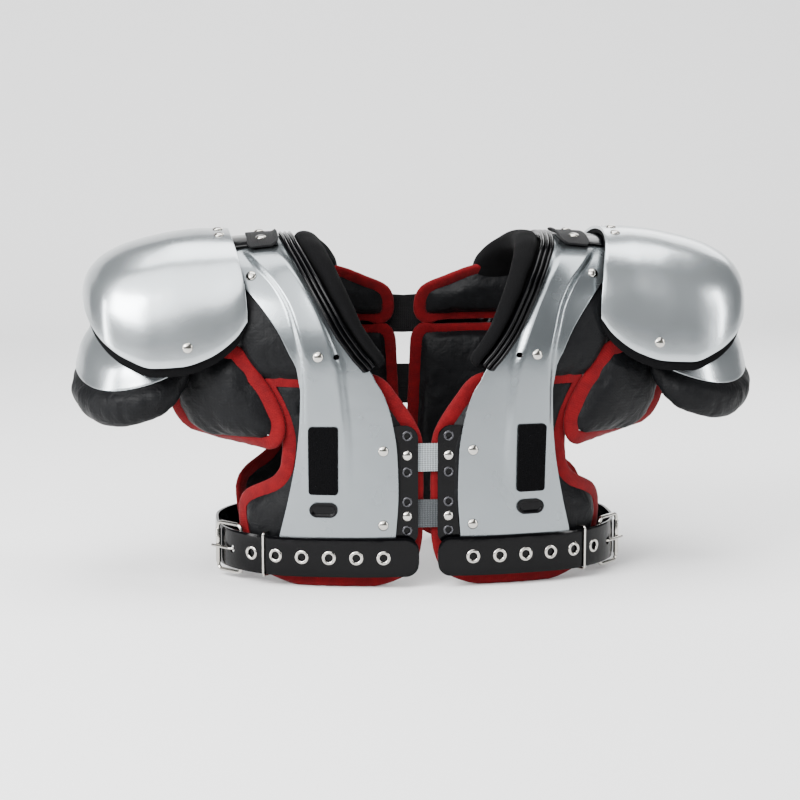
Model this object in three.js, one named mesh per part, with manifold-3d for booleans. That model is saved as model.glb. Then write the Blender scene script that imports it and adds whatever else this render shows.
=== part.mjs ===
// Football shoulder pads, built as two mirrored halves that lie side by side on their hems.
// Each half has a moulded arch shell that runs from the chest over the shoulder to the back,
// quilted pads under it with bound edges, a shoulder cap and an upper-arm flap that hang from
// webbing, an armhole pad, a lacing plate at the centre and a buckled belt round the side.
// Millimetres, +Z up, the front faces -Y, and the hems stand on z = 0 with x = 0 between the halves.
import * as THREE from 'three';
import { mergeVertices } from 'three/addons/utils/BufferGeometryUtils.js';
import Module from 'manifold-3d';

const wasm = await Module();
wasm.setup();

// The body form that every layer follows
const WAIST_REACH = 195;      // half the width at the belt
const SHOULDER_REACH = 250;   // half the width that the shoulders flare to
const FLARE_LOW = 100;        // height where the flare starts
const FLARE_HIGH = 280;       // height where the flare ends
const CHEST_REACH = 118;      // half the depth from front to back
const SIDE_POWER = 2.6;       // how square the waist's outline is
const LEG_RISE = 200;         // height where the front starts to bend over the shoulder
const CREST_HEIGHT = 328;     // top of the form
const CREST_POWER = 2.4;      // how square the bend over the shoulder is
const CREST_LINE = 115;       // distance from the centre where the crest is highest
const CREST_FALL = 11;        // how far the crest drops out to the shoulder's reach
const ARC_SHARE = 0.48;       // share of the path that lies over the shoulder

// Walls, layers and fits
const SEAT_GAP = 0.3;
const EDGE_GAP = 0.8;        // between edges that bend sharply
const PLATE_GAP = 0.9;       // between the shell and the plates under it
const SHELL_WALL = 3;
const RIB_RISE = 4;
const RIB_WALL = 7;
const PLATE_WALL = 2.5;
const ELASTIC_WALL = 2;
const WEBBING_WALL = 2;
const BELT_WALL = 2.5;
const BELT_GAP = 0.8;
const PAD_EDGE = 5;
const CHEST_BULGE = 3.5;      // how far each pad swells outwards in its middle
const SHOULDER_BULGE = 6;
const BACK_BULGE = 4.3;
const PAD_BULGE_IN = 9;
const BINDING_WIDTH = 9;
const BINDING_WALL = 6;
const LINING_WALL = 4;

// Arch shell
const ARCH_REACH = 145;       // half the width across both shells at their feet
const VENT_RADIUS = 2.8;
const VENTS = [{ path: -0.44, share: 0.60 }, { path: -0.1, share: 0.965 }];
const RIVET_RADIUS = 5;
const RIVET_RISE = 3;
const RIVET_SIDES = 10;
const CENTRE_RIVET_REACH = 43;
const CENTRE_RIVET_HEIGHT = 133;
const CHEST_RIVET_REACH = 104;
const CHEST_RIVET_PATH = -0.44;

// Neck
const TRIM_WIDTH = 14;
const TRIM_WALL = 4;
const TRIM_LIP = 2;
const COLLAR_TUCK = 13;       // how far the collar reaches under the shell
const COLLAR_REACH = 32;      // how far it reaches into the neck at the crest
const COLLAR_RISE = 8;
const COLLAR_GAP = 1;         // below the trim's lip, which twists over the shoulder
const COLLAR_DEPTH = 14;
const COLLAR_BELLY = 2;       // how far its underside hangs below its edge

// Lacing plate, elastics and webbing
const PLATE_INNER = 9.5;
const PLATE_OUTER = 41;
const PLATE_LOW = 40;
const PLATE_HIGH = 157;
const PLATE_CORNER = 13;
const EYELET_LINE = 20;
const EYELET_RADIUS = 3.2;
const EYELET_HEIGHTS = [147, 112, 83, 55];
const ELASTIC_WIDTH = 27;
const ELASTIC_REACH = 25;
const ELASTIC_HEIGHTS = { upper: 125.5, lower: 71 };
const BACK_WEBBING_REACH = 62;
const LOWER_WEBBING_HIGH = 188;
const LOWER_WEBBING_WIDTH = 42;

// Hook patch and blank oval plug on the chest
const PATCH_WIDTH = 27;
const PATCH_HIGH = 157;
const PATCH_LENGTH = 66;
const PATCH_WALL = 2.5;
const PATCH_CORNER = 3;
const CHEST_LINE = 99;        // the rib's centre line, where the patch and the plug sit
const PLUG_LENGTH = 26;
const PLUG_WIDTH = 14;
const PLUG_HEIGHT = 76;
const PLUG_WALL = 2.5;

// Shoulder cap and its hinge strap
const CAP_INNER = 170;
const CAP_LENGTH = 158;
const CAP_HEIGHT = 126;
const CAP_REACH = 105;
const CAP_LEAN = 15;          // how far the cap's top inner edge leans outwards
const CAP_POWER = 2.4;
const CAP_WALL = 3;
const LINING_REVEAL = 9;
const HINGE_OFFSET = 7;       // the hinge strap's middle, beyond the cap's inner edge
const HINGE_LINE = CAP_INNER + HINGE_OFFSET;
const HINGE_WIDTH = 84;
const HINGE_WALL = 2.5;
const HINGE_INNER = 140;
const HINGE_OUTER = 216;
// Closer set where the crest rounds over.
const HINGE_ROWS = [-1, -0.87, -0.72, -0.5, -0.25, 0, 0.25, 0.5, 0.72, 0.87, 1];
const HINGE_COLUMNS = [0, 0.2, 0.38, 0.53, 0.68, 0.83, 1];

// Upper-arm flap
const ARM_LINE = 262;         // the arm's centre line
const FLAP_REACH = 75;        // from the arm's line out to the rim
const FLAP_DEPTH = 84;        // from the arm's line to the front rim
const FLAP_RIM = 207;
const FLAP_DIP = 19;          // how far the rim dips at the front and back
const FLAP_WALL = 3;
const FLAP_SWEEP = 112;       // degrees that the flap wraps to each side
const FLAP_PAD_WALL = 16;
const FLAP_PAD_DROP = 36;     // how far the pad hangs below the rim
const FLAP_STRAP_WIDTH = 25;
const FLAP_STRAP_GAP = 2;

// Armhole pad
const LEAF_WALL = 11;
const LEAF_EDGE = 4;
const LEAF_BINDING_WALL = 4.6;
const LEAF_SWEEP = 50;        // how far its outer tip lies behind its inner edge

// Belt and buckle
const BELT_WIDTH = 38;
const BELT_HEIGHT = 30;       // height of its centre line
const BELT_FRONT = 9;         // distance of its free end from the centre
const BELT_BACK = 80;         // distance of its fixed end from the centre
const BELT_HOLE_RADIUS = 4;
const BELT_HOLE_FIRST = 43;
const BELT_HOLE_STEP = 25.8;
const BELT_HOLES = 7;
const BUCKLE_LENGTH = 34;
const BUCKLE_HEIGHT = 51;
const BUCKLE_WIRE = 4;
const BUCKLE_GAP = 0.9;
const BUCKLE_CORNER = 6;
const PRONG_RADIUS = 1.4;
const PRONG_SIDES = 6;
const KEEPER_PLACE = 158;     // distance along the belt from the centre
const KEEPER_WIRE = 1.6;
const KEEPER_CORNER = 3;
const TAB_START = 100;
const TAB_WIDTH = 34;

// The arch, row by row along its path: -1 is the front hem, 0 the crest and 1 the back hem.
// Widths are shares of ARCH_REACH; foot is where the rib's inner foot lies between edge and rib.
const ARCH_ROWS = [
  { path: -0.965, inner: 0.226, foot: 0.85, ribInner: 0.552, ribOuter: 0.779, outer: 1.02, rise: 0 },
  { path: -0.88, inner: 0.216, foot: 0.85, ribInner: 0.552, ribOuter: 0.779, outer: 0.972, rise: 0 },
  { path: -0.76, inner: 0.197, foot: 0.85, ribInner: 0.552, ribOuter: 0.779, outer: 0.900, rise: 0.1 },
  { path: -0.66, inner: 0.206, foot: 0.85, ribInner: 0.552, ribOuter: 0.786, outer: 0.855, rise: 0.55 },
  { path: -0.58, inner: 0.238, foot: 0.83, ribInner: 0.566, ribOuter: 0.786, outer: 0.838, rise: 1 },
  { path: -0.51, inner: 0.298, foot: 0.78, ribInner: 0.586, ribOuter: 0.786, outer: 0.834, rise: 1 },
  { path: -0.46, inner: 0.393, foot: 0.65, ribInner: 0.607, ribOuter: 0.793, outer: 0.860, rise: 1 },
  { path: -0.44, inner: 0.455, foot: 0.50, ribInner: 0.628, ribOuter: 0.800, outer: 0.897, rise: 1 },
  { path: -0.39, inner: 0.566, foot: 0.50, ribInner: 0.683, ribOuter: 0.834, outer: 0.972, rise: 0.9 },
  { path: -0.335, inner: 0.648, foot: 0.60, ribInner: 0.745, ribOuter: 0.876, outer: 1.069, rise: 0.8 },
  { path: -0.275, inner: 0.724, foot: 0.60, ribInner: 0.821, ribOuter: 0.952, outer: 1.179, rise: 0.8 },
  { path: -0.2, inner: 0.800, foot: 0.55, ribInner: 0.910, ribOuter: 1.076, outer: 1.297, rise: 0.8 },
  { path: -0.1, inner: 0.869, foot: 0.50, ribInner: 0.993, ribOuter: 1.180, outer: 1.379, rise: 0 },
  { path: 0, inner: 0.890, foot: 0.48, ribInner: 1.021, ribOuter: 1.228, outer: 1.407, rise: 0 },
  { path: 0.1, inner: 0.855, foot: 0.45, ribInner: 0.993, ribOuter: 1.193, outer: 1.379, rise: 0 },
  { path: 0.2, inner: 0.759, foot: 0.43, ribInner: 0.903, ribOuter: 1.069, outer: 1.290, rise: 0.8 },
  { path: 0.275, inner: 0.655, foot: 0.40, ribInner: 0.814, ribOuter: 0.972, outer: 1.179, rise: 0.8 },
  { path: 0.335, inner: 0.559, foot: 0.45, ribInner: 0.745, ribOuter: 0.903, outer: 1.083, rise: 0.8 },
  { path: 0.39, inner: 0.469, foot: 0.55, ribInner: 0.683, ribOuter: 0.855, outer: 1.007, rise: 0.9 },
  { path: 0.44, inner: 0.393, foot: 0.65, ribInner: 0.641, ribOuter: 0.821, outer: 0.945, rise: 1 },
  { path: 0.51, inner: 0.303, foot: 0.75, ribInner: 0.593, ribOuter: 0.793, outer: 0.890, rise: 1 },
  { path: 0.66, inner: 0.214, foot: 0.85, ribInner: 0.552, ribOuter: 0.786, outer: 0.869, rise: 0.55 },
  { path: 0.88, inner: 0.193, foot: 0.85, ribInner: 0.552, ribOuter: 0.779, outer: 0.952, rise: 0 },
  { path: 0.965, inner: 0.207, foot: 0.85, ribInner: 0.552, ribOuter: 0.779, outer: 0.986, rise: 0 },
];

// The quilted pads inside their bindings. Heights are shares of LEG_RISE, widths of WAIST_REACH.
const LOWER_PAD_ROWS = [
  { height: 0.045, inner: 0.226, outer: 0.677 },
  { height: 0.070, inner: 0.154, outer: 0.769 },
  { height: 0.130, inner: 0.098, outer: 0.856 },
  { height: 0.250, inner: 0.070, outer: 0.918 },
  { height: 0.370, inner: 0.067, outer: 0.928 },
  { height: 0.420, inner: 0.067, outer: 0.872 },
  { height: 0.470, inner: 0.067, outer: 0.759 },
  { height: 0.560, inner: 0.067, outer: 0.690 },
  { height: 0.700, inner: 0.072, outer: 0.674 },
];
const CHEST_PAD_ROWS = [
  { height: 0.800, inner: 0.118, outer: 0.695 },
  { height: 0.900, inner: 0.190, outer: 0.738 },
  { height: 0.970, inner: 0.240, outer: 0.785 },
];
// Over the shoulder the pads follow the arch's own rows, by path.
const BACK_PAD_ROWS = [
  { path: 0.58, inner: 0.079, outer: 0.703 },
  { path: 0.465, inner: 0.087, outer: 0.805 },
  { path: 0.44, inner: 0.092, outer: 0.846 },
];
const NAPE_PAD_ROWS = [
  { path: 0.385, inner: 0.098, outer: 0.900 },
  { path: 0.335, inner: 0.106, outer: 0.935 },
  { path: 0.308, inner: 0.130, outer: 0.950 },
  { path: 0.285, inner: 0.230, outer: 0.958 },
  { path: 0.238, inner: 0.370, outer: 0.965 },
];
const SHOULDER_PAD_ROWS = [
  { path: -0.467, outer: 0.810 },
  { path: -0.44, outer: 0.867 },
  { path: -0.39, outer: 0.918 },
  { path: -0.335, outer: 0.949 },
  { path: -0.275, outer: 0.969 },
  { path: -0.2, outer: 0.979 },
  { path: -0.1, outer: 0.979 },
  { path: 0, outer: 0.979 },
  { path: 0.1, outer: 0.979 },
  { path: 0.2, outer: 0.975 },
];
const PAD_COLUMNS = [0, 0.07, 0.25, 0.5, 0.75, 0.93, 1];

// The collar narrows from the crest to its front end; reach is a share of COLLAR_REACH.
const COLLAR_ROWS = [
  { path: -0.46, reach: 0.42 },
  { path: -0.44, reach: 0.46 },
  { path: -0.39, reach: 0.55 },
  { path: -0.335, reach: 0.66 },
  { path: -0.275, reach: 0.78 },
  { path: -0.2, reach: 0.90 },
  { path: -0.1, reach: 1 },
  { path: 0, reach: 1 },
  { path: 0.1, reach: 1 },
  { path: 0.18, reach: 0.965 },
];
const TRIM_END = 0.335;

// Sections of the cap from its inner edge outwards: out is a share of CAP_LENGTH, top and rim
// are shares of CAP_HEIGHT above the lowest rim, and depth is a share of CAP_REACH.
const CAP_SECTIONS = [
  { out: 0, top: 1, rim: 0.34, depth: 0.94 },
  { out: 0.07, top: 1, rim: 0.22, depth: 0.97 },
  { out: 0.24, top: 1, rim: 0.07, depth: 0.99 },
  { out: 0.40, top: 0.985, rim: 0.01, depth: 1 },
  { out: 0.57, top: 0.945, rim: 0, depth: 0.99 },
  { out: 0.73, top: 0.89, rim: 0.07, depth: 0.93 },
  { out: 0.85, top: 0.82, rim: 0.17, depth: 0.83 },
  { out: 0.93, top: 0.74, rim: 0.28, depth: 0.67 },
  { out: 0.98, top: 0.65, rim: 0.40, depth: 0.45 },
  { out: 1, top: 0.56, rim: 0.49, depth: 0.2 },
];
const CAP_COLUMNS = 10;
const LEAN_FADE = 0.3;        // share of the cap's length over which its lean fades

// The flap's wall from its rim up to the cap: radius is a share of FLAP_REACH, and height a share
// of the rise from the rim to the strap that carries it.
const FLAP_ROWS = [
  { height: 0, radius: 1 },
  { height: 0.19, radius: 0.93 },
  { height: 0.42, radius: 0.76 },
  { height: 0.75, radius: 0.64 },
];
const FLAP_COLUMNS = 12;
const FLAP_TOP_SECTION = 0.80; // where on the cap's length the flap hangs

// The flap pad's section: out is a share of FLAP_PAD_WALL proud of the shell's inside, drop a
// share of FLAP_PAD_DROP below the rim.
const FLAP_PAD_SECTION = [
  { out: 0, drop: -0.75 },
  { out: 0, drop: 0.03 },
  { out: 0.42, drop: 0.2 },
  { out: 0.42, drop: 0.55 },
  { out: 0, drop: 0.9 },
  { out: -0.55, drop: 1 },
  { out: -1, drop: 0.75 },
  { out: -1, drop: -0.75 },
];

// The armhole pad inside its binding: heights are shares of LEG_RISE, outer of SHOULDER_REACH.
const LEAF_ROWS = [
  { height: 0.705, start: 0.12, outer: 0.80 },
  { height: 0.745, start: 0.03, outer: 0.88 },
  { height: 0.82, start: 0, outer: 0.93 },
  { height: 0.91, start: 0, outer: 0.953 },
  { height: 1.01, start: 0, outer: 0.96 },
  { height: 1.12, start: 0, outer: 0.953 },
];
const LEAF_COLUMNS = [0, 0.12, 0.38, 0.68, 0.9, 1];

// Colours as seen
const SILVER = { color: 0xc3c9cb, roughness: 0.22, metalness: 0.55 };
const NYLON = { color: 0x1f2023, roughness: 0.75, metalness: 0 };
const RED_TAPE = { color: 0xb3121d, roughness: 0.8, metalness: 0 };
const BLACK_VINYL = { color: 0x101214, roughness: 0.22, metalness: 0 };
const BLACK_FOAM = { color: 0x18191b, roughness: 0.9, metalness: 0 };
const BLACK_WEBBING = { color: 0x111113, roughness: 0.85, metalness: 0 };
const GREY_ELASTIC = { color: 0x8d9192, roughness: 0.85, metalness: 0 };
const NICKEL = { color: 0xd9d9d6, roughness: 0.15, metalness: 1 };

const { lerp, smoothstep, degToRad } = THREE.MathUtils;
const vector = (x, y, z) => new THREE.Vector3(x, y, z);

// Half the width of the form at a height.
function halfWidth(z) {
  return lerp(WAIST_REACH, SHOULDER_REACH, smoothstep(z, FLARE_LOW, FLARE_HIGH));
}

// Half the depth of the form at a place.
function halfDepth(x, z) {
  const share = Math.min(0.9999, Math.abs(x) / halfWidth(z));
  return CHEST_REACH * Math.pow(1 - Math.pow(share, SIDE_POWER), 1 / SIDE_POWER);
}

// Height of the form's crest at a distance from the centre.
function crestHeight(x) {
  const share = (Math.abs(x) - CREST_LINE) / (SHOULDER_REACH - CREST_LINE);
  return CREST_HEIGHT - CREST_FALL * share * share;
}

// Point on the form, from the distance from the centre and the share of the path.
function formPoint(x, path) {
  const share = Math.abs(path);
  if (share >= ARC_SHARE) {
    const z = LEG_RISE * (1 - share) / (1 - ARC_SHARE);
    return vector(x, Math.sign(path) * halfDepth(x, z), z);
  }
  const angle = (1 - share / ARC_SHARE) * Math.PI / 2;
  const z = LEG_RISE + (crestHeight(x) - LEG_RISE) * Math.pow(Math.sin(angle), 2 / CREST_POWER);
  const reach = Math.pow(Math.max(0, Math.cos(angle)), 2 / CREST_POWER);
  return vector(x, Math.sign(path) * reach * halfDepth(x, z), z);
}

// Outward normal of the form.
function formNormal(x, path) {
  const stepX = 0.5;
  const stepPath = 0.002;
  const across = formPoint(x + stepX, path).sub(formPoint(x - stepX, path));
  const along = formPoint(x, path + stepPath).sub(formPoint(x, path - stepPath));
  return across.cross(along).normalize();
}

// Point at a distance outside the form.
function layerPoint(x, path, offset) {
  return formPoint(x, path).addScaledVector(formNormal(x, path), offset);
}

// Share of the path at a height on the legs, in front (-1) or behind (1).
function pathAt(z, side) {
  return side * (1 - z / LEG_RISE * (1 - ARC_SHARE));
}

// Point and outward normal on the waist, by the angle round it from the front.
function waistPoint(angle, z) {
  const sine = Math.pow(Math.abs(Math.sin(angle)), 2 / SIDE_POWER);
  const cosine = Math.sign(Math.cos(angle)) * Math.pow(Math.abs(Math.cos(angle)), 2 / SIDE_POWER);
  return vector(halfWidth(z) * sine, -CHEST_REACH * cosine, z);
}

// The row of a table at a path, from the rows on each side of it.
function rowAt(rows, path) {
  const next = Math.max(1, rows.findIndex((row) => row.path >= path - 1e-9));
  const [low, high] = [rows[next - 1], rows[next]];
  const share = (path - low.path) / (high.path - low.path);
  const mixed = {};
  for (const key of Object.keys(low)) mixed[key] = lerp(low[key], high[key], share);
  return mixed;
}

// Turns a geometry's faces round if they point inwards.
function facingOut(positions, faces) {
  let volume = 0;
  for (const [a, b, c] of faces) {
    volume += positions[a].dot(vector(0, 0, 0).crossVectors(positions[b], positions[c]));
  }
  const ordered = volume < 0 ? faces.map(([a, b, c]) => [a, c, b]) : faces;
  const geometry = new THREE.BufferGeometry().setFromPoints(positions);
  geometry.setIndex(ordered.flat());
  return geometry;
}

// A wall between two grids of points that have the same rows and columns.
function wall(outside, inside) {
  const [rows, columns] = [outside.length, outside[0].length];
  const positions = [...outside.flat(), ...inside.flat()];
  const far = rows * columns;
  const faces = [];
  const quad = (a, b, c, d) => faces.push([a, b, c], [a, c, d]);
  for (let i = 0; i < rows - 1; i++) {
    for (let j = 0; j < columns - 1; j++) {
      const a = i * columns + j;
      quad(a, a + 1, a + columns + 1, a + columns);
      quad(far + a, far + a + columns, far + a + columns + 1, far + a + 1);
    }
  }
  for (const [a, b] of rimEdges(rows, columns)) quad(b, a, far + a, far + b);
  return facingOut(positions, faces);
}

// Edges round a grid, in order, each as two places in the grid.
function rimEdges(rows, columns) {
  const loop = rimLoop(rows, columns);
  return loop.map((place, i) => [place, loop[(i + 1) % loop.length]]);
}

// Places round a grid, in order.
function rimLoop(rows, columns) {
  const loop = [];
  for (let j = 0; j < columns - 1; j++) loop.push(j);
  for (let i = 0; i < rows - 1; i++) loop.push(i * columns + columns - 1);
  for (let j = columns - 1; j > 0; j--) loop.push((rows - 1) * columns + j);
  for (let i = rows - 1; i > 0; i--) loop.push(i * columns);
  return loop;
}

// A solid through rings of points, open with end faces or closed on itself.
function loft(rings, closed = false) {
  const count = rings[0].length;
  const positions = rings.flat();
  const faces = [];
  const last = closed ? rings.length : rings.length - 1;
  for (let i = 0; i < last; i++) {
    const next = ((i + 1) % rings.length) * count;
    for (let j = 0; j < count; j++) {
      const k = (j + 1) % count;
      faces.push([i * count + j, next + j, next + k], [i * count + j, next + k, i * count + k]);
    }
  }
  if (!closed) {
    for (const [ring, turn] of [[0, 0], [rings.length - 1, 1]]) {
      const middle = rings[ring].reduce((sum, p) => sum.add(p), vector(0, 0, 0));
      positions.push(middle.divideScalar(count));
      for (let j = 0; j < count; j++) {
        const pair = [ring * count + j, ring * count + (j + 1) % count];
        if (turn) pair.reverse();
        faces.push([positions.length - 1, ...pair]);
      }
    }
  }
  return facingOut(positions, faces);
}

// Rings of a section swept along stations that each have a place, an outward and a normal axis.
function sweep(stations, section, closed = false) {
  return loft(stations.map(({ place, out, normal }, i) => section(i).map(([along, rise]) =>
    place.clone().addScaledVector(out, along).addScaledVector(normal, rise))), closed);
}

// The manifold solid of a geometry.
function solidOf(geometry) {
  const plain = geometry.clone();
  plain.deleteAttribute('normal');
  plain.deleteAttribute('uv');
  const merged = mergeVertices(plain, 1e-3);
  return new wasm.Manifold(new wasm.Mesh({
    numProp: 3,
    vertProperties: merged.attributes.position.array,
    triVerts: new Uint32Array(merged.index.array),
  }));
}

// A geometry less several others.
function cut(geometry, cutters) {
  let solid = solidOf(geometry);
  for (const cutter of cutters) solid = solid.subtract(solidOf(cutter));
  const mesh = solid.getMesh();
  const made = new THREE.BufferGeometry();
  made.setAttribute('position', new THREE.BufferAttribute(mesh.vertProperties, 3));
  made.setIndex(new THREE.BufferAttribute(mesh.triVerts, 1));
  return made;
}

// A cylinder through a wall, at a place and along a direction.
function drill(place, direction, radius, sides = 8) {
  const length = 24;
  const geometry = new THREE.CylinderGeometry(radius, radius, length, sides);
  const turn = new THREE.Quaternion().setFromUnitVectors(vector(0, 1, 0), direction);
  return geometry.applyQuaternion(turn).translate(place.x, place.y, place.z);
}

// A named mesh with its material.
function piece(name, geometry, finish) {
  const mesh = new THREE.Mesh(geometry, new THREE.MeshStandardMaterial(finish));
  mesh.name = name;
  return mesh;
}

// The columns of the arch at one row: distance from the centre and share of the rib's rise.
function archColumns(row) {
  const [inner, rib, crown, outer] = [row.inner, row.ribInner, row.ribOuter, row.outer]
    .map((share) => share * ARCH_REACH);
  const outerFoot = crown + RIB_WALL < outer ? crown + RIB_WALL : lerp(crown, outer, 0.6);
  return [
    { x: inner, rise: 0 },
    { x: lerp(inner, rib, row.foot), rise: 0 },
    { x: rib, rise: row.rise },
    { x: crown, rise: row.rise },
    { x: outerFoot, rise: 0 },
    { x: outer, rise: 0 },
  ];
}

// The arch shell with its raised rib and its vent holes.
function archShell() {
  const grid = (offset) => ARCH_ROWS.map((row) => archColumns(row).map(({ x, rise }) =>
    layerPoint(x, row.path, offset + rise * RIB_RISE)));
  const holes = VENTS.map(({ path, share }) => {
    const x = share * ARCH_REACH;
    return drill(layerPoint(x, path, 0), formNormal(x, path), VENT_RADIUS);
  });
  return cut(wall(grid(SHELL_WALL), grid(0)), holes);
}

// Stations along the arch's neck edge, with out pointing into the neck.
function neckStations(first, last) {
  const rows = ARCH_ROWS.filter((row) => row.path >= first - 1e-9 && row.path <= last + 1e-9);
  const edge = (row) => formPoint(row.inner * ARCH_REACH, row.path);
  return rows.map((row) => {
    const place = ARCH_ROWS.indexOf(row);
    const along = edge(ARCH_ROWS[place + 1]).sub(edge(ARCH_ROWS[place - 1])).normalize();
    const normal = formNormal(row.inner * ARCH_REACH, row.path);
    const out = normal.clone().cross(along).normalize();
    if (out.x > 0) out.negate();
    return { row, place: edge(row), out, normal };
  });
}

// The ribbed trim that caps the shell's neck edge and turns down over it.
function neckTrim() {
  const half = TRIM_WIDTH / 2;
  const base = SHELL_WALL + EDGE_GAP;
  const top = base + TRIM_WALL;
  const groove = top - TRIM_WALL * 0.45;
  const section = [
    [-half, base], [-half, top - 1], [-half * 0.65, top], [-half * 0.35, groove],
    [0, top], [half * 0.35, groove], [half * 0.7, top], [half, top - 1],
    [half, -TRIM_LIP], [SEAT_GAP * 2, -TRIM_LIP], [SEAT_GAP * 2, base],
  ];
  return sweep(neckStations(COLLAR_ROWS[0].path, TRIM_END), () => section);
}

// The soft collar that the shell's neck edge rests on.
function neckPad() {
  const stations = neckStations(COLLAR_ROWS[0].path, COLLAR_ROWS.at(-1).path);
  const lip = TRIM_WIDTH / 2 + EDGE_GAP * 2;
  return sweep(stations, (i) => {
    const reach = lip + (COLLAR_REACH - lip) * COLLAR_ROWS[i].reach;
    const low = -TRIM_LIP - COLLAR_GAP;
    const wide = (share) => lerp(lip, reach, share);
    return [
      [-COLLAR_TUCK, low], [lip, low], [wide(0.12), COLLAR_RISE * 0.5],
      [wide(0.4), COLLAR_RISE], [wide(0.8), COLLAR_RISE * 0.6], [reach, -COLLAR_RISE * 0.4],
      [wide(0.9), -COLLAR_DEPTH * 0.85], [wide(0.3), -COLLAR_DEPTH - COLLAR_BELLY],
      [-COLLAR_TUCK, -COLLAR_DEPTH],
    ];
  });
}

// The middle of the pads' edges, measured from the form.
const PAD_SEAT = PLATE_GAP + PLATE_WALL + SEAT_GAP + ELASTIC_WALL + EDGE_GAP + BINDING_WALL / 2;

// A pad as a grid of places: each row has a path and its inner and outer distance.
function padGrid(rows) {
  return rows.map(({ path, inner, outer }, i) => PAD_COLUMNS.map((share) => {
    const lengthwise = Math.min(1, Math.min(i, rows.length - 1 - i) / 2);
    const across = Math.sin(Math.PI * share);
    return { x: lerp(inner, outer, share), path, fill: across * lengthwise };
  }));
}

// A quilted pad that thins to its edge.
function pad(rows, bulgeOut) {
  const grid = padGrid(rows);
  const face = (side, bulge) => grid.map((row) => row.map(({ x, path, fill }) =>
    layerPoint(x, path, -PAD_SEAT + side * (PAD_EDGE / 2 + bulge * fill))));
  return wall(face(1, bulgeOut), face(-1, PAD_BULGE_IN));
}

// The tape round a grid's edge, from points and normals in the grid's order.
function bindingRound(points, normals, rows, columns, thickness = BINDING_WALL) {
  const loop = rimLoop(rows, columns);
  const centre = points.reduce((sum, p) => sum.add(p), vector(0, 0, 0)).divideScalar(points.length);
  const stations = loop.map((place, i) => {
    const before = points[loop[(i + loop.length - 1) % loop.length]];
    const after = points[loop[(i + 1) % loop.length]];
    const here = points[place];
    const arriving = here.clone().sub(before).normalize();
    const leaving = after.clone().sub(here).normalize();
    const normal = normals[place];
    const out = arriving.clone().add(leaving).cross(normal).normalize();
    const sideways = arriving.clone().cross(normal).normalize();
    return { place: here, out: out.divideScalar(Math.max(0.75, out.dot(sideways))), normal, centre };
  });
  const turned = stations.reduce((sum, s) => sum + s.out.dot(s.place.clone().sub(centre)), 0);
  if (turned < 0) for (const station of stations) station.out.negate();
  const [near, far] = [EDGE_GAP, EDGE_GAP + BINDING_WIDTH];
  const half = thickness / 2;
  const section = [[near, -half], [far, -half * 0.6], [far, half * 0.6], [near, half]];
  return sweep(stations, () => section, true);
}

// The tape round a pad on the form.
function padBinding(rows) {
  const grid = padGrid(rows);
  const flat = grid.flat();
  const points = flat.map(({ x, path }) => layerPoint(x, path, -PAD_SEAT));
  const normals = flat.map(({ x, path }) => formNormal(x, path));
  return bindingRound(points, normals, grid.length, PAD_COLUMNS.length);
}

// Pad rows from a table in heights and shares, in front (-1) or behind (1).
function legRows(table, side) {
  return table.map(({ height, inner, outer }) => ({
    path: pathAt(height * LEG_RISE, side),
    inner: inner * WAIST_REACH,
    outer: outer * WAIST_REACH,
  }));
}

// Pad rows from a table in paths and shares.
function pathRows(table) {
  return table.map(({ path, inner, outer }) => ({
    path,
    inner: inner * WAIST_REACH,
    outer: outer * WAIST_REACH,
  }));
}

const CHEST_ROWS = legRows([...LOWER_PAD_ROWS, ...CHEST_PAD_ROWS], -1);
const BACK_ROWS = [...legRows(LOWER_PAD_ROWS, 1), ...pathRows(BACK_PAD_ROWS)];
const NAPE_ROWS = pathRows(NAPE_PAD_ROWS);
// The shoulder pad starts outside the collar's tuck.
const SHOULDER_ROWS = SHOULDER_PAD_ROWS.map(({ path, outer }) => ({
  path,
  inner: rowAt(ARCH_ROWS, path).inner * ARCH_REACH + COLLAR_TUCK * 1.6,
  outer: outer * WAIST_REACH,
}));

// A shape extruded without bevels.
function extruded(shape, depth, curveSegments) {
  return new THREE.ExtrudeGeometry(shape, { depth, bevelEnabled: false, curveSegments });
}

// A flat shape drawn in distance and height, raised and bent round the front of the form.
function wrapped(shape, low, thickness, riseAt = () => 0) {
  const geometry = extruded(shape, thickness, 3);
  const position = geometry.attributes.position;
  for (let i = 0; i < position.count; i++) {
    const [x, z, rise] = [position.getX(i), position.getY(i), position.getZ(i)];
    const path = pathAt(z, -1);
    const point = layerPoint(x, path, low + rise + riseAt(path));
    position.setXYZ(i, point.x, point.y, point.z);
  }
  return geometry;
}

// A rounded rectangle.
function roundedBox(left, right, low, high, radius) {
  const shape = new THREE.Shape();
  shape.moveTo(left + radius, low);
  shape.lineTo(right - radius, low);
  shape.absarc(right - radius, low + radius, radius, -Math.PI / 2, 0);
  shape.lineTo(right, high - radius);
  shape.absarc(right - radius, high - radius, radius, 0, Math.PI / 2);
  shape.lineTo(left + radius, high);
  shape.absarc(left + radius, high - radius, radius, Math.PI / 2, Math.PI);
  shape.lineTo(left, low + radius);
  shape.absarc(left + radius, low + radius, radius, Math.PI, Math.PI * 1.5);
  return shape;
}

// The lacing plate under the shell's centre edge.
function lacePlate() {
  const shape = roundedBox(PLATE_INNER, PLATE_OUTER, PLATE_LOW, PLATE_HIGH, PLATE_CORNER);
  for (const height of EYELET_HEIGHTS) {
    const hole = new THREE.Path();
    hole.absarc(EYELET_LINE, height, EYELET_RADIUS, 0, Math.PI * 2, true);
    shape.holes.push(hole);
  }
  return wrapped(shape, -PLATE_GAP - PLATE_WALL, PLATE_WALL);
}

// How far the rib's top stands above the plain shell.
function ribRise(path) {
  return rowAt(ARCH_ROWS, path).rise * RIB_RISE;
}

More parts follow.
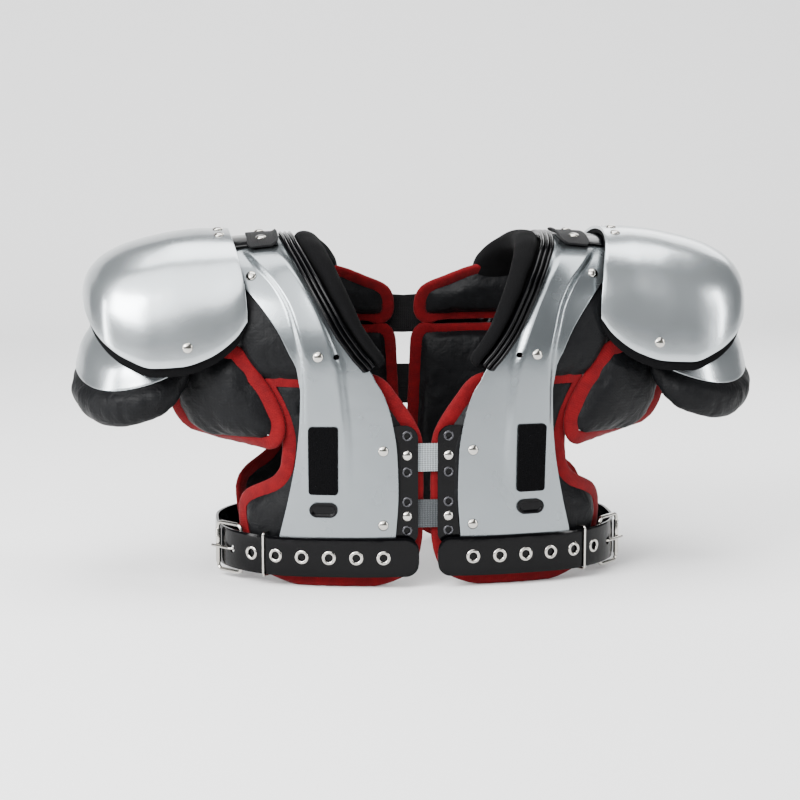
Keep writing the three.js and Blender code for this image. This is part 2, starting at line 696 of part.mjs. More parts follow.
// The hook patch on the rib.
function hookPatch() {
  const [left, right] = [CHEST_LINE - PATCH_WIDTH / 2, CHEST_LINE + PATCH_WIDTH / 2];
  const shape = roundedBox(left, right, PATCH_HIGH - PATCH_LENGTH, PATCH_HIGH, PATCH_CORNER);
  return wrapped(shape, SHELL_WALL + SEAT_GAP, PATCH_WALL, ribRise);
}

// The blank oval plug, with a recess in its face.
function ovalPlug() {
  const oval = (inset) => {
    const half = PLUG_WIDTH / 2;
    return roundedBox(CHEST_LINE - PLUG_LENGTH / 2 + inset, CHEST_LINE + PLUG_LENGTH / 2 - inset,
      PLUG_HEIGHT - half + inset, PLUG_HEIGHT + half - inset, half - inset - 0.01);
  };
  const base = SHELL_WALL + SEAT_GAP;
  const recess = PLUG_WALL * 0.6;
  const body = wrapped(oval(0), base, PLUG_WALL);
  return cut(body, [wrapped(oval(PLUG_WIDTH * 0.25), base + PLUG_WALL - recess, recess * 2)]);
}

// A domed rivet head seated on the shell.
function rivet(x, path, rise = 0) {
  const place = layerPoint(x, path, SHELL_WALL + SEAT_GAP + rise);
  const profile = [
    new THREE.Vector2(0, 0), new THREE.Vector2(RIVET_RADIUS, 0),
    new THREE.Vector2(RIVET_RADIUS * 0.8, RIVET_RISE * 0.65), new THREE.Vector2(0, RIVET_RISE),
  ];
  const turn = new THREE.Quaternion().setFromUnitVectors(vector(0, 1, 0), formNormal(x, path));
  return new THREE.LatheGeometry(profile, RIVET_SIDES)
    .applyQuaternion(turn).translate(place.x, place.y, place.z);
}

// The cap's top comes from the layers that stack up on the crest at its hinge.
const CAP_TOP = crestHeight(HINGE_LINE) + SHELL_WALL + SEAT_GAP + HINGE_WALL + SEAT_GAP
  + LINING_WALL + SEAT_GAP + CAP_WALL;
const CAP_LOW = CAP_TOP - CAP_HEIGHT;

// The cap's section at a share of its length, from the table.
function capSection(out) {
  const next = Math.max(1, CAP_SECTIONS.findIndex((row) => row.out >= out - 1e-9));
  const [low, high] = [CAP_SECTIONS[next - 1], CAP_SECTIONS[next]];
  const share = (out - low.out) / (high.out - low.out);
  return {
    top: CAP_LOW + CAP_HEIGHT * lerp(low.top, high.top, share),
    rim: CAP_LOW + CAP_HEIGHT * lerp(low.rim, high.rim, share),
    depth: CAP_REACH * lerp(low.depth, high.depth, share),
  };
}

// Point on the cap's outside: round runs from 0 at the front rim over the top to 1 at the back.
function capPoint(out, round) {
  const { top, rim, depth } = capSection(THREE.MathUtils.clamp(out, 0, 1));
  const angle = THREE.MathUtils.clamp(round, 0, 1) * Math.PI;
  const climb = Math.pow(Math.sin(angle), 2 / CAP_POWER);
  const reach = -Math.sign(Math.cos(angle)) * Math.pow(Math.abs(Math.cos(angle)), 2 / CAP_POWER);
  const lean = CAP_LEAN * climb * climb * Math.max(0, 1 - out / LEAN_FADE);
  return vector(CAP_INNER + CAP_LENGTH * out + lean, depth * reach, lerp(rim, top, climb));
}

// Outward normal of the cap.
function capNormal(out, round) {
  const step = 0.01;
  const across = capPoint(Math.min(1, out + step), round).sub(capPoint(Math.max(0, out - step), round));
  const along = capPoint(out, Math.min(1, round + step)).sub(capPoint(out, Math.max(0, round - step)));
  return across.cross(along).normalize();
}

// A grid of places at a distance from the cap's outside; drop lowers its rims.
function capGrid(outs, rounds, offset, drop = 0) {
  return outs.map((out) => rounds.map((round, j) => {
    const point = capPoint(out, round).addScaledVector(capNormal(out, round), offset);
    if (j === 0 || j === rounds.length - 1) point.z -= drop;
    return point;
  }));
}

const CAP_OUTS = CAP_SECTIONS.map((row) => row.out);
const CAP_ROUNDS = Array.from({ length: CAP_COLUMNS + 1 }, (_, j) => j / CAP_COLUMNS);
const LINING_TOP = CAP_WALL + SEAT_GAP;
const LINING_LOW = LINING_TOP + LINING_WALL;

// The cap's moulded shell.
function capShell() {
  return wall(capGrid(CAP_OUTS, CAP_ROUNDS, 0), capGrid(CAP_OUTS, CAP_ROUNDS, -CAP_WALL));
}

// The foam lining, which shows below the cap's rim.
function capLining() {
  return wall(capGrid(CAP_OUTS, CAP_ROUNDS, -LINING_TOP, LINING_REVEAL),
    capGrid(CAP_OUTS, CAP_ROUNDS, -LINING_LOW, LINING_REVEAL));
}

// The strap on the arch's crest that the cap is riveted to.
function hingeStrap() {
  const xs = HINGE_COLUMNS.map((share) => lerp(HINGE_INNER, HINGE_OUTER, share));
  const half = HINGE_WIDTH / 2;
  const grid = (offset) => HINGE_ROWS.map((side) => xs.map((x) => {
    const reach = half / halfDepth(x, CREST_HEIGHT) * Math.abs(side);
    const angle = Math.acos(Math.pow(reach, CREST_POWER / 2));
    const path = Math.sign(side) * ARC_SHARE * (1 - angle / (Math.PI / 2));
    return layerPoint(x, path, offset);
  }));
  const base = SHELL_WALL + SEAT_GAP;
  return wall(grid(base + HINGE_WALL), grid(base));
}

// The strap under the cap's lining that carries the flap.
function flapStrap() {
  const outs = [0.42, 0.57, 0.73, FLAP_TOP_SECTION + 0.03];
  const half = FLAP_STRAP_WIDTH / 2 / (Math.PI * CAP_REACH);
  const rounds = [0.5 - half, 0.5, 0.5 + half];
  const top = LINING_LOW + FLAP_STRAP_GAP;
  return wall(capGrid(outs, rounds, -top), capGrid(outs, rounds, -top - WEBBING_WALL));
}

// The place on the flap's strap that its shell hangs from.
function flapHanger() {
  const drop = LINING_LOW + FLAP_STRAP_GAP + WEBBING_WALL + EDGE_GAP;
  return capPoint(FLAP_TOP_SECTION, 0.5)
    .addScaledVector(capNormal(FLAP_TOP_SECTION, 0.5), -drop);
}

// Point round the arm: angle from the outside, radius share, height, and distance inwards.
function armPoint(angle, radius, height, inwards) {
  const [reach, depth] = [FLAP_REACH * radius - inwards, FLAP_DEPTH * radius - inwards];
  const dip = FLAP_DIP * Math.sin(Math.PI * Math.min(1, Math.abs(angle) / degToRad(FLAP_SWEEP)));
  return vector(ARM_LINE + reach * Math.cos(angle), depth * Math.sin(angle), height - dip);
}

const FLAP_ANGLES = Array.from({ length: FLAP_COLUMNS + 1 },
  (_, i) => degToRad(lerp(-FLAP_SWEEP, FLAP_SWEEP, i / FLAP_COLUMNS)));

// The flap's moulded shell round the outside of the upper arm.
function flapShell() {
  const hanger = flapHanger();
  const rise = hanger.z - FLAP_RIM;
  const rows = [...FLAP_ROWS, { height: 1, radius: (hanger.x - ARM_LINE) / FLAP_REACH }];
  const grid = (inwards) => FLAP_ANGLES.map((angle) => rows.map(({ height, radius }) =>
    armPoint(angle, radius, FLAP_RIM + rise * height, inwards)));
  return wall(grid(0), grid(FLAP_WALL));
}

// The flap's pad, which rolls out below the shell's rim.
function flapPad() {
  const rise = flapHanger().z - FLAP_RIM;
  const wallRows = FLAP_ROWS.map(({ height, radius }) => ({ path: height, radius }));
  const inside = FLAP_WALL + SEAT_GAP * 2;
  const section = FLAP_PAD_SECTION.map(({ out, drop }) => {
    const height = Math.max(0, -drop * FLAP_PAD_DROP / rise);
    const radius = rowAt(wallRows, height).radius;
    return { radius, height: FLAP_RIM - drop * FLAP_PAD_DROP, inwards: inside - out * FLAP_PAD_WALL };
  });
  return loft(FLAP_ANGLES.map((angle) => section.map(({ radius, height, inwards }) =>
    armPoint(angle, radius, height, inwards))));
}

// The armhole pad: its inner edge lies on the chest's binding and its tip sweeps back.
const LEAF_SEAT = SEAT_GAP + EDGE_GAP + LEAF_BINDING_WALL / 2;
function leafGrid() {
  const edge = (z) => {
    const rows = [...CHEST_ROWS.slice(-8), ...SHOULDER_ROWS.slice(1, 5)]
      .map(({ path, outer }) => ({ path, outer }));
    const path = z <= LEG_RISE ? pathAt(z, -1) : arcPathAt(z);
    return { path, x: rowAt(rows, path).outer + BINDING_WIDTH };
  };
  return LEAF_ROWS.map(({ height, start, outer }) => {
    const z = height * LEG_RISE;
    const { path, x: inner } = edge(z);
    const root = layerPoint(inner, path, -LEAF_SEAT);
    const tip = outer * SHOULDER_REACH;
    return LEAF_COLUMNS.map((share) => {
      const out = lerp(start, 1, share);
      return vector(lerp(inner, tip, out), root.y + LEAF_SWEEP * Math.pow(out, 1.4), z);
    });
  });
}

// Share of the path at a height over the shoulder, in front.
function arcPathAt(z) {
  const share = (z - LEG_RISE) / (CREST_HEIGHT - LEG_RISE);
  const angle = Math.asin(Math.pow(share, CREST_POWER / 2));
  return -ARC_SHARE * (1 - angle / (Math.PI / 2));
}

// Normals of a grid, from its neighbours, facing the front.
function gridNormals(grid) {
  const clampRow = (i) => Math.min(grid.length - 1, Math.max(0, i));
  const clampColumn = (j) => Math.min(grid[0].length - 1, Math.max(0, j));
  return grid.map((row, i) => row.map((_, j) => {
    const along = grid[clampRow(i + 1)][j].clone().sub(grid[clampRow(i - 1)][j]);
    const across = row[clampColumn(j + 1)].clone().sub(row[clampColumn(j - 1)]);
    return across.cross(along).normalize();
  }));
}

function leafPad() {
  const grid = leafGrid();
  const normals = gridNormals(grid);
  const face = (side) => grid.map((row, i) => row.map((point, j) => {
    const fill = Math.min(1, Math.min(i, grid.length - 1 - i)) * (j > 0 && j < row.length - 1 ? 1 : 0);
    return point.clone().addScaledVector(normals[i][j], side * lerp(LEAF_EDGE, LEAF_WALL, fill) / 2);
  }));
  return wall(face(1), face(-1));
}

function leafBinding() {
  const grid = leafGrid();
  return bindingRound(grid.flat(), gridNormals(grid).flat(), grid.length, LEAF_COLUMNS.length,
    LEAF_BINDING_WALL);
}

// Stations along the belt's centre line, by distance from the front centre.
const WAIST_STEPS = 720;
const WAIST_LINE = Array.from({ length: WAIST_STEPS + 1 }, (_, i) =>
  waistPoint(Math.PI * i / WAIST_STEPS, BELT_HEIGHT));
const WAIST_LENGTHS = WAIST_LINE.map(() => 0);
for (let i = 1; i <= WAIST_STEPS; i++) {
  WAIST_LENGTHS[i] = WAIST_LENGTHS[i - 1] + WAIST_LINE[i].distanceTo(WAIST_LINE[i - 1]);
}
function beltStation(distance) {
  const next = WAIST_LENGTHS.findIndex((length) => length >= distance);
  const i = Math.min(WAIST_STEPS - 1, Math.max(1, next));
  const share = (distance - WAIST_LENGTHS[i - 1]) / (WAIST_LENGTHS[i] - WAIST_LENGTHS[i - 1]);
  const place = WAIST_LINE[i - 1].clone().lerp(WAIST_LINE[i], share);
  const along = WAIST_LINE[i].clone().sub(WAIST_LINE[i - 1]).normalize();
  return { place, along, normal: vector(0, 0, 1).cross(along).negate().normalize() };
}
const BELT_IN = SHELL_WALL + BELT_GAP;
const BELT_OUT = BELT_IN + BELT_WALL;
const BUCKLE_PLACE = BELT_HOLE_FIRST + BELT_HOLE_STEP * (BELT_HOLES - 1) + BUCKLE_LENGTH * 0.22;

// A flat strap along the waist between two distances, at an offset, with a round front end.
function waistStrap(start, end, width, low, high, steps, roundEnd = false) {
  const half = width / 2;
  const stations = [];
  if (roundEnd) stations.push([start, 0.45], [start + half * 0.25, 0.8], [start + half * 0.7, 1]);
  else stations.push([start, 1]);
  const from = stations.at(-1)[0];
  for (let i = 1; i <= steps; i++) stations.push([lerp(from, end, i / steps), 1]);
  return loft(stations.map(([distance, share]) => {
    const { place, normal } = beltStation(distance);
    return [[1, high], [-1, high], [-1, low], [1, low]].map(([side, offset]) =>
      place.clone().addScaledVector(normal, offset).setZ(place.z + side * half * share));
  }));
}

function belt() {
  const total = WAIST_LENGTHS[WAIST_STEPS];
  const plain = waistStrap(BELT_FRONT, total - BELT_BACK, BELT_WIDTH, BELT_IN, BELT_OUT, 18, true);
  const holes = Array.from({ length: BELT_HOLES }, (_, i) => {
    const { place, normal } = beltStation(BELT_HOLE_FIRST + BELT_HOLE_STEP * i);
    return drill(place.clone().addScaledVector(normal, BELT_IN), normal, BELT_HOLE_RADIUS);
  });
  return cut(plain, holes);
}

// The places of the buckle's two bars: the toe bar lies over the belt, the heel bar under it.
function buckleBars() {
  const half = BUCKLE_LENGTH / 2 - BUCKLE_WIRE / 2;
  const toe = beltStation(BUCKLE_PLACE + half);
  const heel = beltStation(BUCKLE_PLACE - half);
  const clear = BUCKLE_GAP + BUCKLE_WIRE / 2;
  return {
    toe: toe.place.clone().addScaledVector(toe.normal, BELT_OUT + clear),
    heel: heel.place.clone().addScaledVector(heel.normal, BELT_IN - clear),
  };
}

function buckleFrame() {
  const { toe, heel } = buckleBars();
  const along = toe.clone().sub(heel);
  const length = along.length() / 2 + BUCKLE_WIRE / 2;
  const half = BUCKLE_HEIGHT / 2;
  const shape = roundedBox(-length, length, -half, half, BUCKLE_CORNER);
  shape.holes.push(roundedBox(-length + BUCKLE_WIRE, length - BUCKLE_WIRE,
    -half + BUCKLE_WIRE, half - BUCKLE_WIRE, BUCKLE_CORNER - BUCKLE_WIRE / 2));
  const geometry = extruded(shape, BUCKLE_WIRE, 2);
  geometry.translate(0, 0, -BUCKLE_WIRE / 2);
  const x = along.normalize();
  const y = vector(0, 0, 1);
  const basis = new THREE.Matrix4().makeBasis(x, y, x.clone().cross(y));
  const middle = toe.clone().add(heel).multiplyScalar(0.5);
  return geometry.applyMatrix4(basis).translate(middle.x, middle.y, middle.z);
}

// The prong from the heel bar through the belt's hole and over the toe bar.
function buckleProng() {
  const { toe, heel } = buckleBars();
  const hole = beltStation(BELT_HOLE_FIRST + BELT_HOLE_STEP * (BELT_HOLES - 1));
  const along = toe.clone().sub(heel).normalize();
  const outwards = vector(0, 0, 1).cross(along).negate();
  const clear = BUCKLE_WIRE / 2 + SEAT_GAP + PRONG_RADIUS;
  const points = [
    heel.clone().addScaledVector(along, clear),
    hole.place.clone().addScaledVector(hole.normal, BELT_IN - 1).addScaledVector(hole.along, -1),
    hole.place.clone().addScaledVector(hole.normal, BELT_OUT + 1).addScaledVector(hole.along, 1),
    toe.clone().addScaledVector(outwards, clear + 0.4),
    toe.clone().addScaledVector(outwards, clear + 0.4).addScaledVector(along, BUCKLE_WIRE),
  ];
  const up = vector(0, 0, 1);
  return loft(points.map((point, i) => {
    const before = points[Math.max(0, i - 1)];
    const after = points[Math.min(points.length - 1, i + 1)];
    const side = after.clone().sub(before).normalize().cross(up).normalize();
    return Array.from({ length: PRONG_SIDES }, (_, k) => point.clone()
      .addScaledVector(side, PRONG_RADIUS * Math.cos(2 * k * Math.PI / PRONG_SIDES))
      .addScaledVector(up, PRONG_RADIUS * Math.sin(2 * k * Math.PI / PRONG_SIDES)));
  }));
}

// The tab under the belt that holds the buckle to the shell.
function buckleTab() {
  const end = BUCKLE_PLACE - BUCKLE_LENGTH / 2 - SEAT_GAP * 2;
  return waistStrap(TAB_START, end, TAB_WIDTH, -PLATE_GAP - PLATE_WALL, -PLATE_GAP, 8);
}

// The wire keeper round the belt and the tab.
function keeper() {
  const { place, normal } = beltStation(KEEPER_PLACE);
  const low = -PLATE_GAP - PLATE_WALL - SEAT_GAP;
  const high = BELT_OUT + SEAT_GAP * 2;
  const half = BELT_WIDTH / 2 + SEAT_GAP * 3;
  const [left, right, edge] = [low - KEEPER_WIRE, high + KEEPER_WIRE, half + KEEPER_WIRE];
  const shape = roundedBox(left, right, -edge, edge, KEEPER_CORNER);
  shape.holes.push(roundedBox(low, high, -half, half, 1));
  const geometry = extruded(shape, KEEPER_WIRE, 2);
  const up = vector(0, 0, 1);
  const basis = new THREE.Matrix4().makeBasis(normal, up, normal.clone().cross(up));
  return geometry.translate(0, 0, -KEEPER_WIRE / 2).applyMatrix4(basis)
    .translate(place.x, place.y, place.z);
}

// Elastic across the front, under both lacing plates.
function frontElastic(height) {
  const xs = [-ELASTIC_REACH, 0, ELASTIC_REACH];
  const zs = [height - ELASTIC_WIDTH / 2, height + ELASTIC_WIDTH / 2];
  const top = PLATE_GAP + PLATE_WALL + SEAT_GAP;
  const grid = (offset) => zs.map((z) => xs.map((x) => layerPoint(x, pathAt(z, -1), offset)));
  return wall(grid(-top), grid(-top - ELASTIC_WALL));
}

// Webbing across the back, under both shells.
function backWebbing(paths, reach) {
  const xs = [-1, -0.5, 0, 0.5, 1].map((share) => share * reach);
  const grid = (offset) => paths.map((path) => xs.map((x) => layerPoint(x, path, offset)));
  return wall(grid(-PLATE_GAP), grid(-PLATE_GAP - WEBBING_WALL));
}

// One half of the set; side names it and mirrors it.
function half(side) {
  const group = new THREE.Group();
  const add = (name, geometry, finish) => group.add(piece(`${name}_${side}`, geometry, finish));
  add('arch_shell', archShell(), SILVER);
  add('neck_trim', neckTrim(), BLACK_VINYL);
  add('neck_pad', neckPad(), BLACK_FOAM);
  add('chest_pad', pad(CHEST_ROWS, CHEST_BULGE), NYLON);
  add('chest_binding', padBinding(CHEST_ROWS), RED_TAPE);
  add('shoulder_pad', pad(SHOULDER_ROWS, SHOULDER_BULGE), NYLON);
  add('nape_pad', pad(NAPE_ROWS, CHEST_BULGE), NYLON);
  add('nape_binding', padBinding(NAPE_ROWS), RED_TAPE);
  add('back_pad', pad(BACK_ROWS, BACK_BULGE), NYLON);
  add('back_binding', padBinding(BACK_ROWS), RED_TAPE);
  add('lace_plate', lacePlate(), BLACK_VINYL);
  add('hook_patch', hookPatch(), BLACK_WEBBING);
  add('oval_plug', ovalPlug(), BLACK_VINYL);
  add('cap_shell', capShell(), SILVER);
  add('cap_lining', capLining(), BLACK_FOAM);
  add('hinge_strap', hingeStrap(), BLACK_VINYL);
  add('flap_strap', flapStrap(), BLACK_WEBBING);
  add('flap_shell', flapShell(), SILVER);
  add('flap_pad', flapPad(), NYLON);
  add('armhole_pad', leafPad(), NYLON);
  add('armhole_binding', leafBinding(), RED_TAPE);
  add('belt', belt(), BLACK_VINYL);
  add('belt_tab', buckleTab(), BLACK_VINYL);
  add('buckle_frame', buckleFrame(), NICKEL);
  add('buckle_prong', buckleProng(), NICKEL);
  add('belt_keeper', keeper(), NICKEL);
  add('rivet_centre', rivet(CENTRE_RIVET_REACH, pathAt(CENTRE_RIVET_HEIGHT, -1)), NICKEL);
  add('rivet_chest', rivet(CHEST_RIVET_REACH, CHEST_RIVET_PATH, RIB_RISE), NICKEL);
  if (side === 'left') group.scale.x = -1;
  return group;
}

const pads = new THREE.Group();
pads.add(half('left'), half('right'));
for (const [name, height] of Object.entries(ELASTIC_HEIGHTS)) {
  pads.add(piece(`front_elastic_${name}`, frontElastic(height), GREY_ELASTIC));
}
const upperReach = BACK_WEBBING_REACH * 1.3;
pads.add(piece('back_webbing_upper', backWebbing([0.335, 0.39, 0.44], upperReach), BLACK_WEBBING));
const lowerPaths = [LOWER_WEBBING_HIGH, LOWER_WEBBING_HIGH - LOWER_WEBBING_WIDTH]
  .map((z) => pathAt(z, 1));
pads.add(piece('back_webbing_lower', backWebbing(lowerPaths, BACK_WEBBING_REACH), BLACK_WEBBING));

// The whole set stands on its hems, with its outline centred on the origin.
pads.updateMatrixWorld(true);
const outline = new THREE.Box3().setFromObject(pads, true);
pads.position.set(0, -(outline.min.y + outline.max.y) / 2, -outline.min.z);
const shoulderPads = new THREE.Group();
shoulderPads.add(pads);

export default shoulderPads;
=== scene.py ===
"""Football shoulder pads: silver arch shells over quilted pads, caps, flaps and buckled belts.

Every layer follows one body form, worked out in millimetres as in the part's own source, and the
right half is built and dressed, then mirrored for the left. Meshes are in metres.
"""

import logging
import math
from dataclasses import dataclass, field
from enum import Enum
from typing import Callable, Iterable, Sequence

import bpy
from mathutils import Matrix, Vector, noise
from mathutils.kdtree import KDTree


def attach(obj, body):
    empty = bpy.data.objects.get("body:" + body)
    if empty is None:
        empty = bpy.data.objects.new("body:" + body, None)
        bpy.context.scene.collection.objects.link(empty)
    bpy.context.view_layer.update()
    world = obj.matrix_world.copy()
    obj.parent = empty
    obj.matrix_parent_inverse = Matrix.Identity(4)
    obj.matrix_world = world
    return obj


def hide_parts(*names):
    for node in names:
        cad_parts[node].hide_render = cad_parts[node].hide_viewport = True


MM = 0.001
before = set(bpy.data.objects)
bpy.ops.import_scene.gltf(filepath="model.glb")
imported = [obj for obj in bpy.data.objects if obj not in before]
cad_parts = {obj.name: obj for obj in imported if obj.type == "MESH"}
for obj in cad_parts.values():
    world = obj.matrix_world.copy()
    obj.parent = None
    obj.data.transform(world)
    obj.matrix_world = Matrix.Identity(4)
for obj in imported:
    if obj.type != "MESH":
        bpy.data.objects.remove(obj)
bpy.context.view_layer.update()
log = logging.getLogger("shoulder_pads")

Point = Callable[[float, float], Vector]


class Side(Enum):
    """The half of the set that a piece belongs to."""

    RIGHT = "right"
    LEFT = "left"


class Leg(Enum):
    """The end of the path over the shoulder."""

    FRONT = -1
    BACK = 1


def mix(low: float, high: float, share: float) -> float:
    """Return the value at a share of the way from low to high."""
    return low + (high - low) * share


def ease(value: float, low: float, high: float) -> float:
    """Return a smooth step from 0 at low to 1 at high."""
    share = min(1.0, max(0.0, (value - low) / (high - low)))
    return share * share * (3 - 2 * share)


def bend(table: Sequence[Sequence[float]], column: int, at: float) -> float:
    """Read a table smoothly between its rows.

    Args:
        table: rows in rising order of their first column.
        column: the column that is read.
        at: the place in the first column.

    Returns:
        The column's value on a curve through the rows without overshoot.
    """
    last = len(table) - 1
    at = min(table[last][0], max(table[0][0], at))
    i = max(k for k in range(last) if table[k][0] <= at or k == 0)
    slopes = [(table[k + 1][column] - table[k][column]) / (table[k + 1][0] - table[k][0])
              for k in range(last)]

    def tangent(k: int) -> float:
        """Return the curve's slope at a row."""
        before, after = slopes[max(0, k - 1)], slopes[min(last - 1, k)]
        return 0.0 if before * after <= 0 else 2 * before * after / (before + after)

    run = table[i + 1][0] - table[i][0]
    t = (at - table[i][0]) / run
    start, end = table[i][column], table[i + 1][column]
    return (start * (2 * t ** 3 - 3 * t * t + 1) + end * (3 * t * t - 2 * t ** 3)
            + tangent(i) * run * (t ** 3 - 2 * t * t + t) + tangent(i + 1) * run * (t ** 3 - t * t))


@dataclass(frozen=True)
class BodyForm:
    """The torso shape that every layer follows, in millimetres."""

    waist_reach: float = 195
    shoulder_reach: float = 250
    flare_low: float = 100
    flare_high: float = 280
    chest_reach: float = 118
    side_power: float = 2.6
    leg_rise: float = 200
    crest_height: float = 328
    crest_power: float = 2.4
    crest_line: float = 115
    crest_fall: float = 11
    arc_share: float = 0.48
    shift: Vector = field(default_factory=lambda: Vector((0, 1.97, 0.8)))

    @property
    def path_length(self) -> float:
        """Return the millimetres on a leg for one unit of path."""
        return self.leg_rise / (1 - self.arc_share)

    def half_width(self, z: float) -> float:
        """Return half the form's width at a height."""
        return mix(self.waist_reach, self.shoulder_reach, ease(z, self.flare_low, self.flare_high))

    def half_depth(self, x: float, z: float) -> float:
        """Return half the form's depth at a place."""
        share = min(0.9999, abs(x) / self.half_width(z))
        return self.chest_reach * (1 - share ** self.side_power) ** (1 / self.side_power)

    def crest(self, x: float) -> float:
        """Return the crest's height at a distance from the centre."""
        share = (abs(x) - self.crest_line) / (self.shoulder_reach - self.crest_line)
        return self.crest_height - self.crest_fall * share * share

    def point(self, x: float, path: float) -> Vector:
        """Return the form's point at a distance from the centre and a share of the path."""
        share, sign = abs(path), math.copysign(1, path)
        if share >= self.arc_share:
            z = self.leg_rise * (1 - share) / (1 - self.arc_share)
            return Vector((x, sign * self.half_depth(x, z), z))
        angle = (1 - share / self.arc_share) * math.pi / 2
        z = self.leg_rise + (self.crest(x) - self.leg_rise) * math.sin(angle) ** (2 / self.crest_power)
        reach = max(0.0, math.cos(angle)) ** (2 / self.crest_power)
        return Vector((x, sign * reach * self.half_depth(x, z), z))

    def normal(self, x: float, path: float) -> Vector:
        """Return the form's outward normal."""
        step_x, step_path = 0.5, 0.004
        across = self.point(x + step_x, path) - self.point(x - step_x, path)
        along = self.point(x, path + step_path) - self.point(x, path - step_path)
        return across.cross(along).normalized()

    def layer(self, x: float, path: float, offset: float) -> Vector:
        """Return a point at a distance outside the form."""
        return self.point(x, path) + self.normal(x, path) * offset

    def path_at(self, z: float, leg: Leg) -> float:
        """Return the share of the path at a height on a leg."""
        return leg.value * (1 - z / self.leg_rise * (1 - self.arc_share))

    def arc_path(self, z: float) -> float:
        """Return the share of the path at a height over the shoulder, in front."""
        share = (z - self.leg_rise) / (self.crest_height - self.leg_rise)
        angle = math.asin(share ** (self.crest_power / 2))
        return -self.arc_share * (1 - angle / (math.pi / 2))


FORM = BodyForm()


def select(piece: bpy.types.Object) -> None:
    """Make a piece the only one that operators act on."""
    bpy.ops.object.select_all(action="DESELECT")
    piece.select_set(True)
    bpy.context.view_layer.objects.active = piece


def modify(piece: bpy.types.Object, kind: str, **settings: object) -> None:
    """Add a modifier to a piece and apply it.

    Args:
        piece: the object.
        kind: the modifier's type.
        settings: the modifier's values by name.
    """
    select(piece)
    bpy.ops.object.modifier_add(type=kind)
    modifier = piece.modifiers[-1]
    for name, value in settings.items():
        setattr(modifier, name, value)
    bpy.ops.object.modifier_apply(modifier=modifier.name)


def edit(piece: bpy.types.Object, *steps: Callable[[], object]) -> None:
    """Run edit-mode steps on all of a piece."""
    select(piece)
    bpy.ops.object.mode_set(mode="EDIT")
    bpy.ops.mesh.select_all(action="SELECT")
    for step in steps:
        step()
    bpy.ops.object.mode_set(mode="OBJECT")


def smooth(piece: bpy.types.Object, degrees: float = 40) -> bpy.types.Object:
    """Shade a piece smooth but for its sharp edges, and return it."""
    select(piece)
    bpy.ops.object.shade_smooth_by_angle(angle=math.radians(degrees))
    return piece


SHARP = math.radians(50)  # edges sharper than this are rounded off


def walled(piece: bpy.types.Object, wall: float, rounding: float = 0, segments: int = 2,
           even: bool = False) -> bpy.types.Object:
    """Thicken a sheet inwards and round off its edges.

    Args:
        piece: the sheet.
        wall: its thickness in millimetres.
        rounding: its edges' radius in millimetres; 0 leaves them sharp.
        segments: faces round an edge.
        even: whether the wall keeps its thickness over creases.

    Returns:
        The closed piece.
    """
    modify(piece, "SOLIDIFY", thickness=wall * MM, offset=-1, use_even_offset=even)
    if rounding:
        modify(piece, "BEVEL", width=rounding * MM, segments=segments, limit_method="ANGLE",
               angle_limit=SHARP)
    return piece


def corner_inset(corner: float, gap: float) -> float:
    """Return how far a rounded corner draws in at a distance from its end."""
    depth = max(0.0, corner - gap)
    return corner - math.sqrt(max(0.0, corner ** 2 - depth ** 2))


def closer(share: float) -> float:
    """Return a share set closer towards both ends."""
    return 0.5 - 0.5 * math.cos(math.pi * share)


def panel(name: str, steps: tuple[int, int], place: Point, sizes: tuple[float, float] = (1, 1),
          ) -> bpy.types.Object:
    """Bend a flat grid into a curved sheet.

    Args:
        name: the object's name.
        steps: faces across and along.
        place: the point in millimetres for shares across and along; its outside is to the left
            of along seen from across.
        sizes: the sheet's real size in metres across and along, for its UV map.

    Returns:
        The sheet, with a UV map in metres.
    """
    bpy.ops.object.select_all(action="DESELECT")
    bpy.ops.mesh.primitive_grid_add(x_subdivisions=steps[0], y_subdivisions=steps[1], size=2)
    piece = bpy.context.object
    piece.name = piece.data.name = name
    shares = [((v.co.x + 1) / 2, (v.co.y + 1) / 2) for v in piece.data.vertices]
    for vertex, (across, along) in zip(piece.data.vertices, shares):
        vertex.co = place(across, along) * MM
    coordinates = piece.data.uv_layers[0].data
    for loop in piece.data.loops:
        across, along = shares[loop.vertex_index]
        coordinates[loop.index].uv = (across * sizes[0], along * sizes[1])
    return piece


@dataclass
class Station:
    """A place on a sweep's path, with its outward and normal axes."""

    place: Vector
    out: Vector
    normal: Vector


Section = Sequence[tuple[float, float]]


def softened(points: Section, rounds: int = 2) -> Section:
    """Cut a closed section's corners until it runs smooth."""
    for _ in range(rounds):
        cut = []
        for i, (x, y) in enumerate(points):
            far_x, far_y = points[(i + 1) % len(points)]
            cut += [(mix(x, far_x, 0.25), mix(y, far_y, 0.25)), (mix(x, far_x, 0.75), mix(y, far_y, 0.75))]
        points = cut
    return points


def circle(radius: float, sides: int) -> Section:
    """Return the section of round wire."""
    angles = [math.tau * k / sides for k in range(sides)]
    return [(radius * math.cos(angle), radius * math.sin(angle)) for angle in angles]


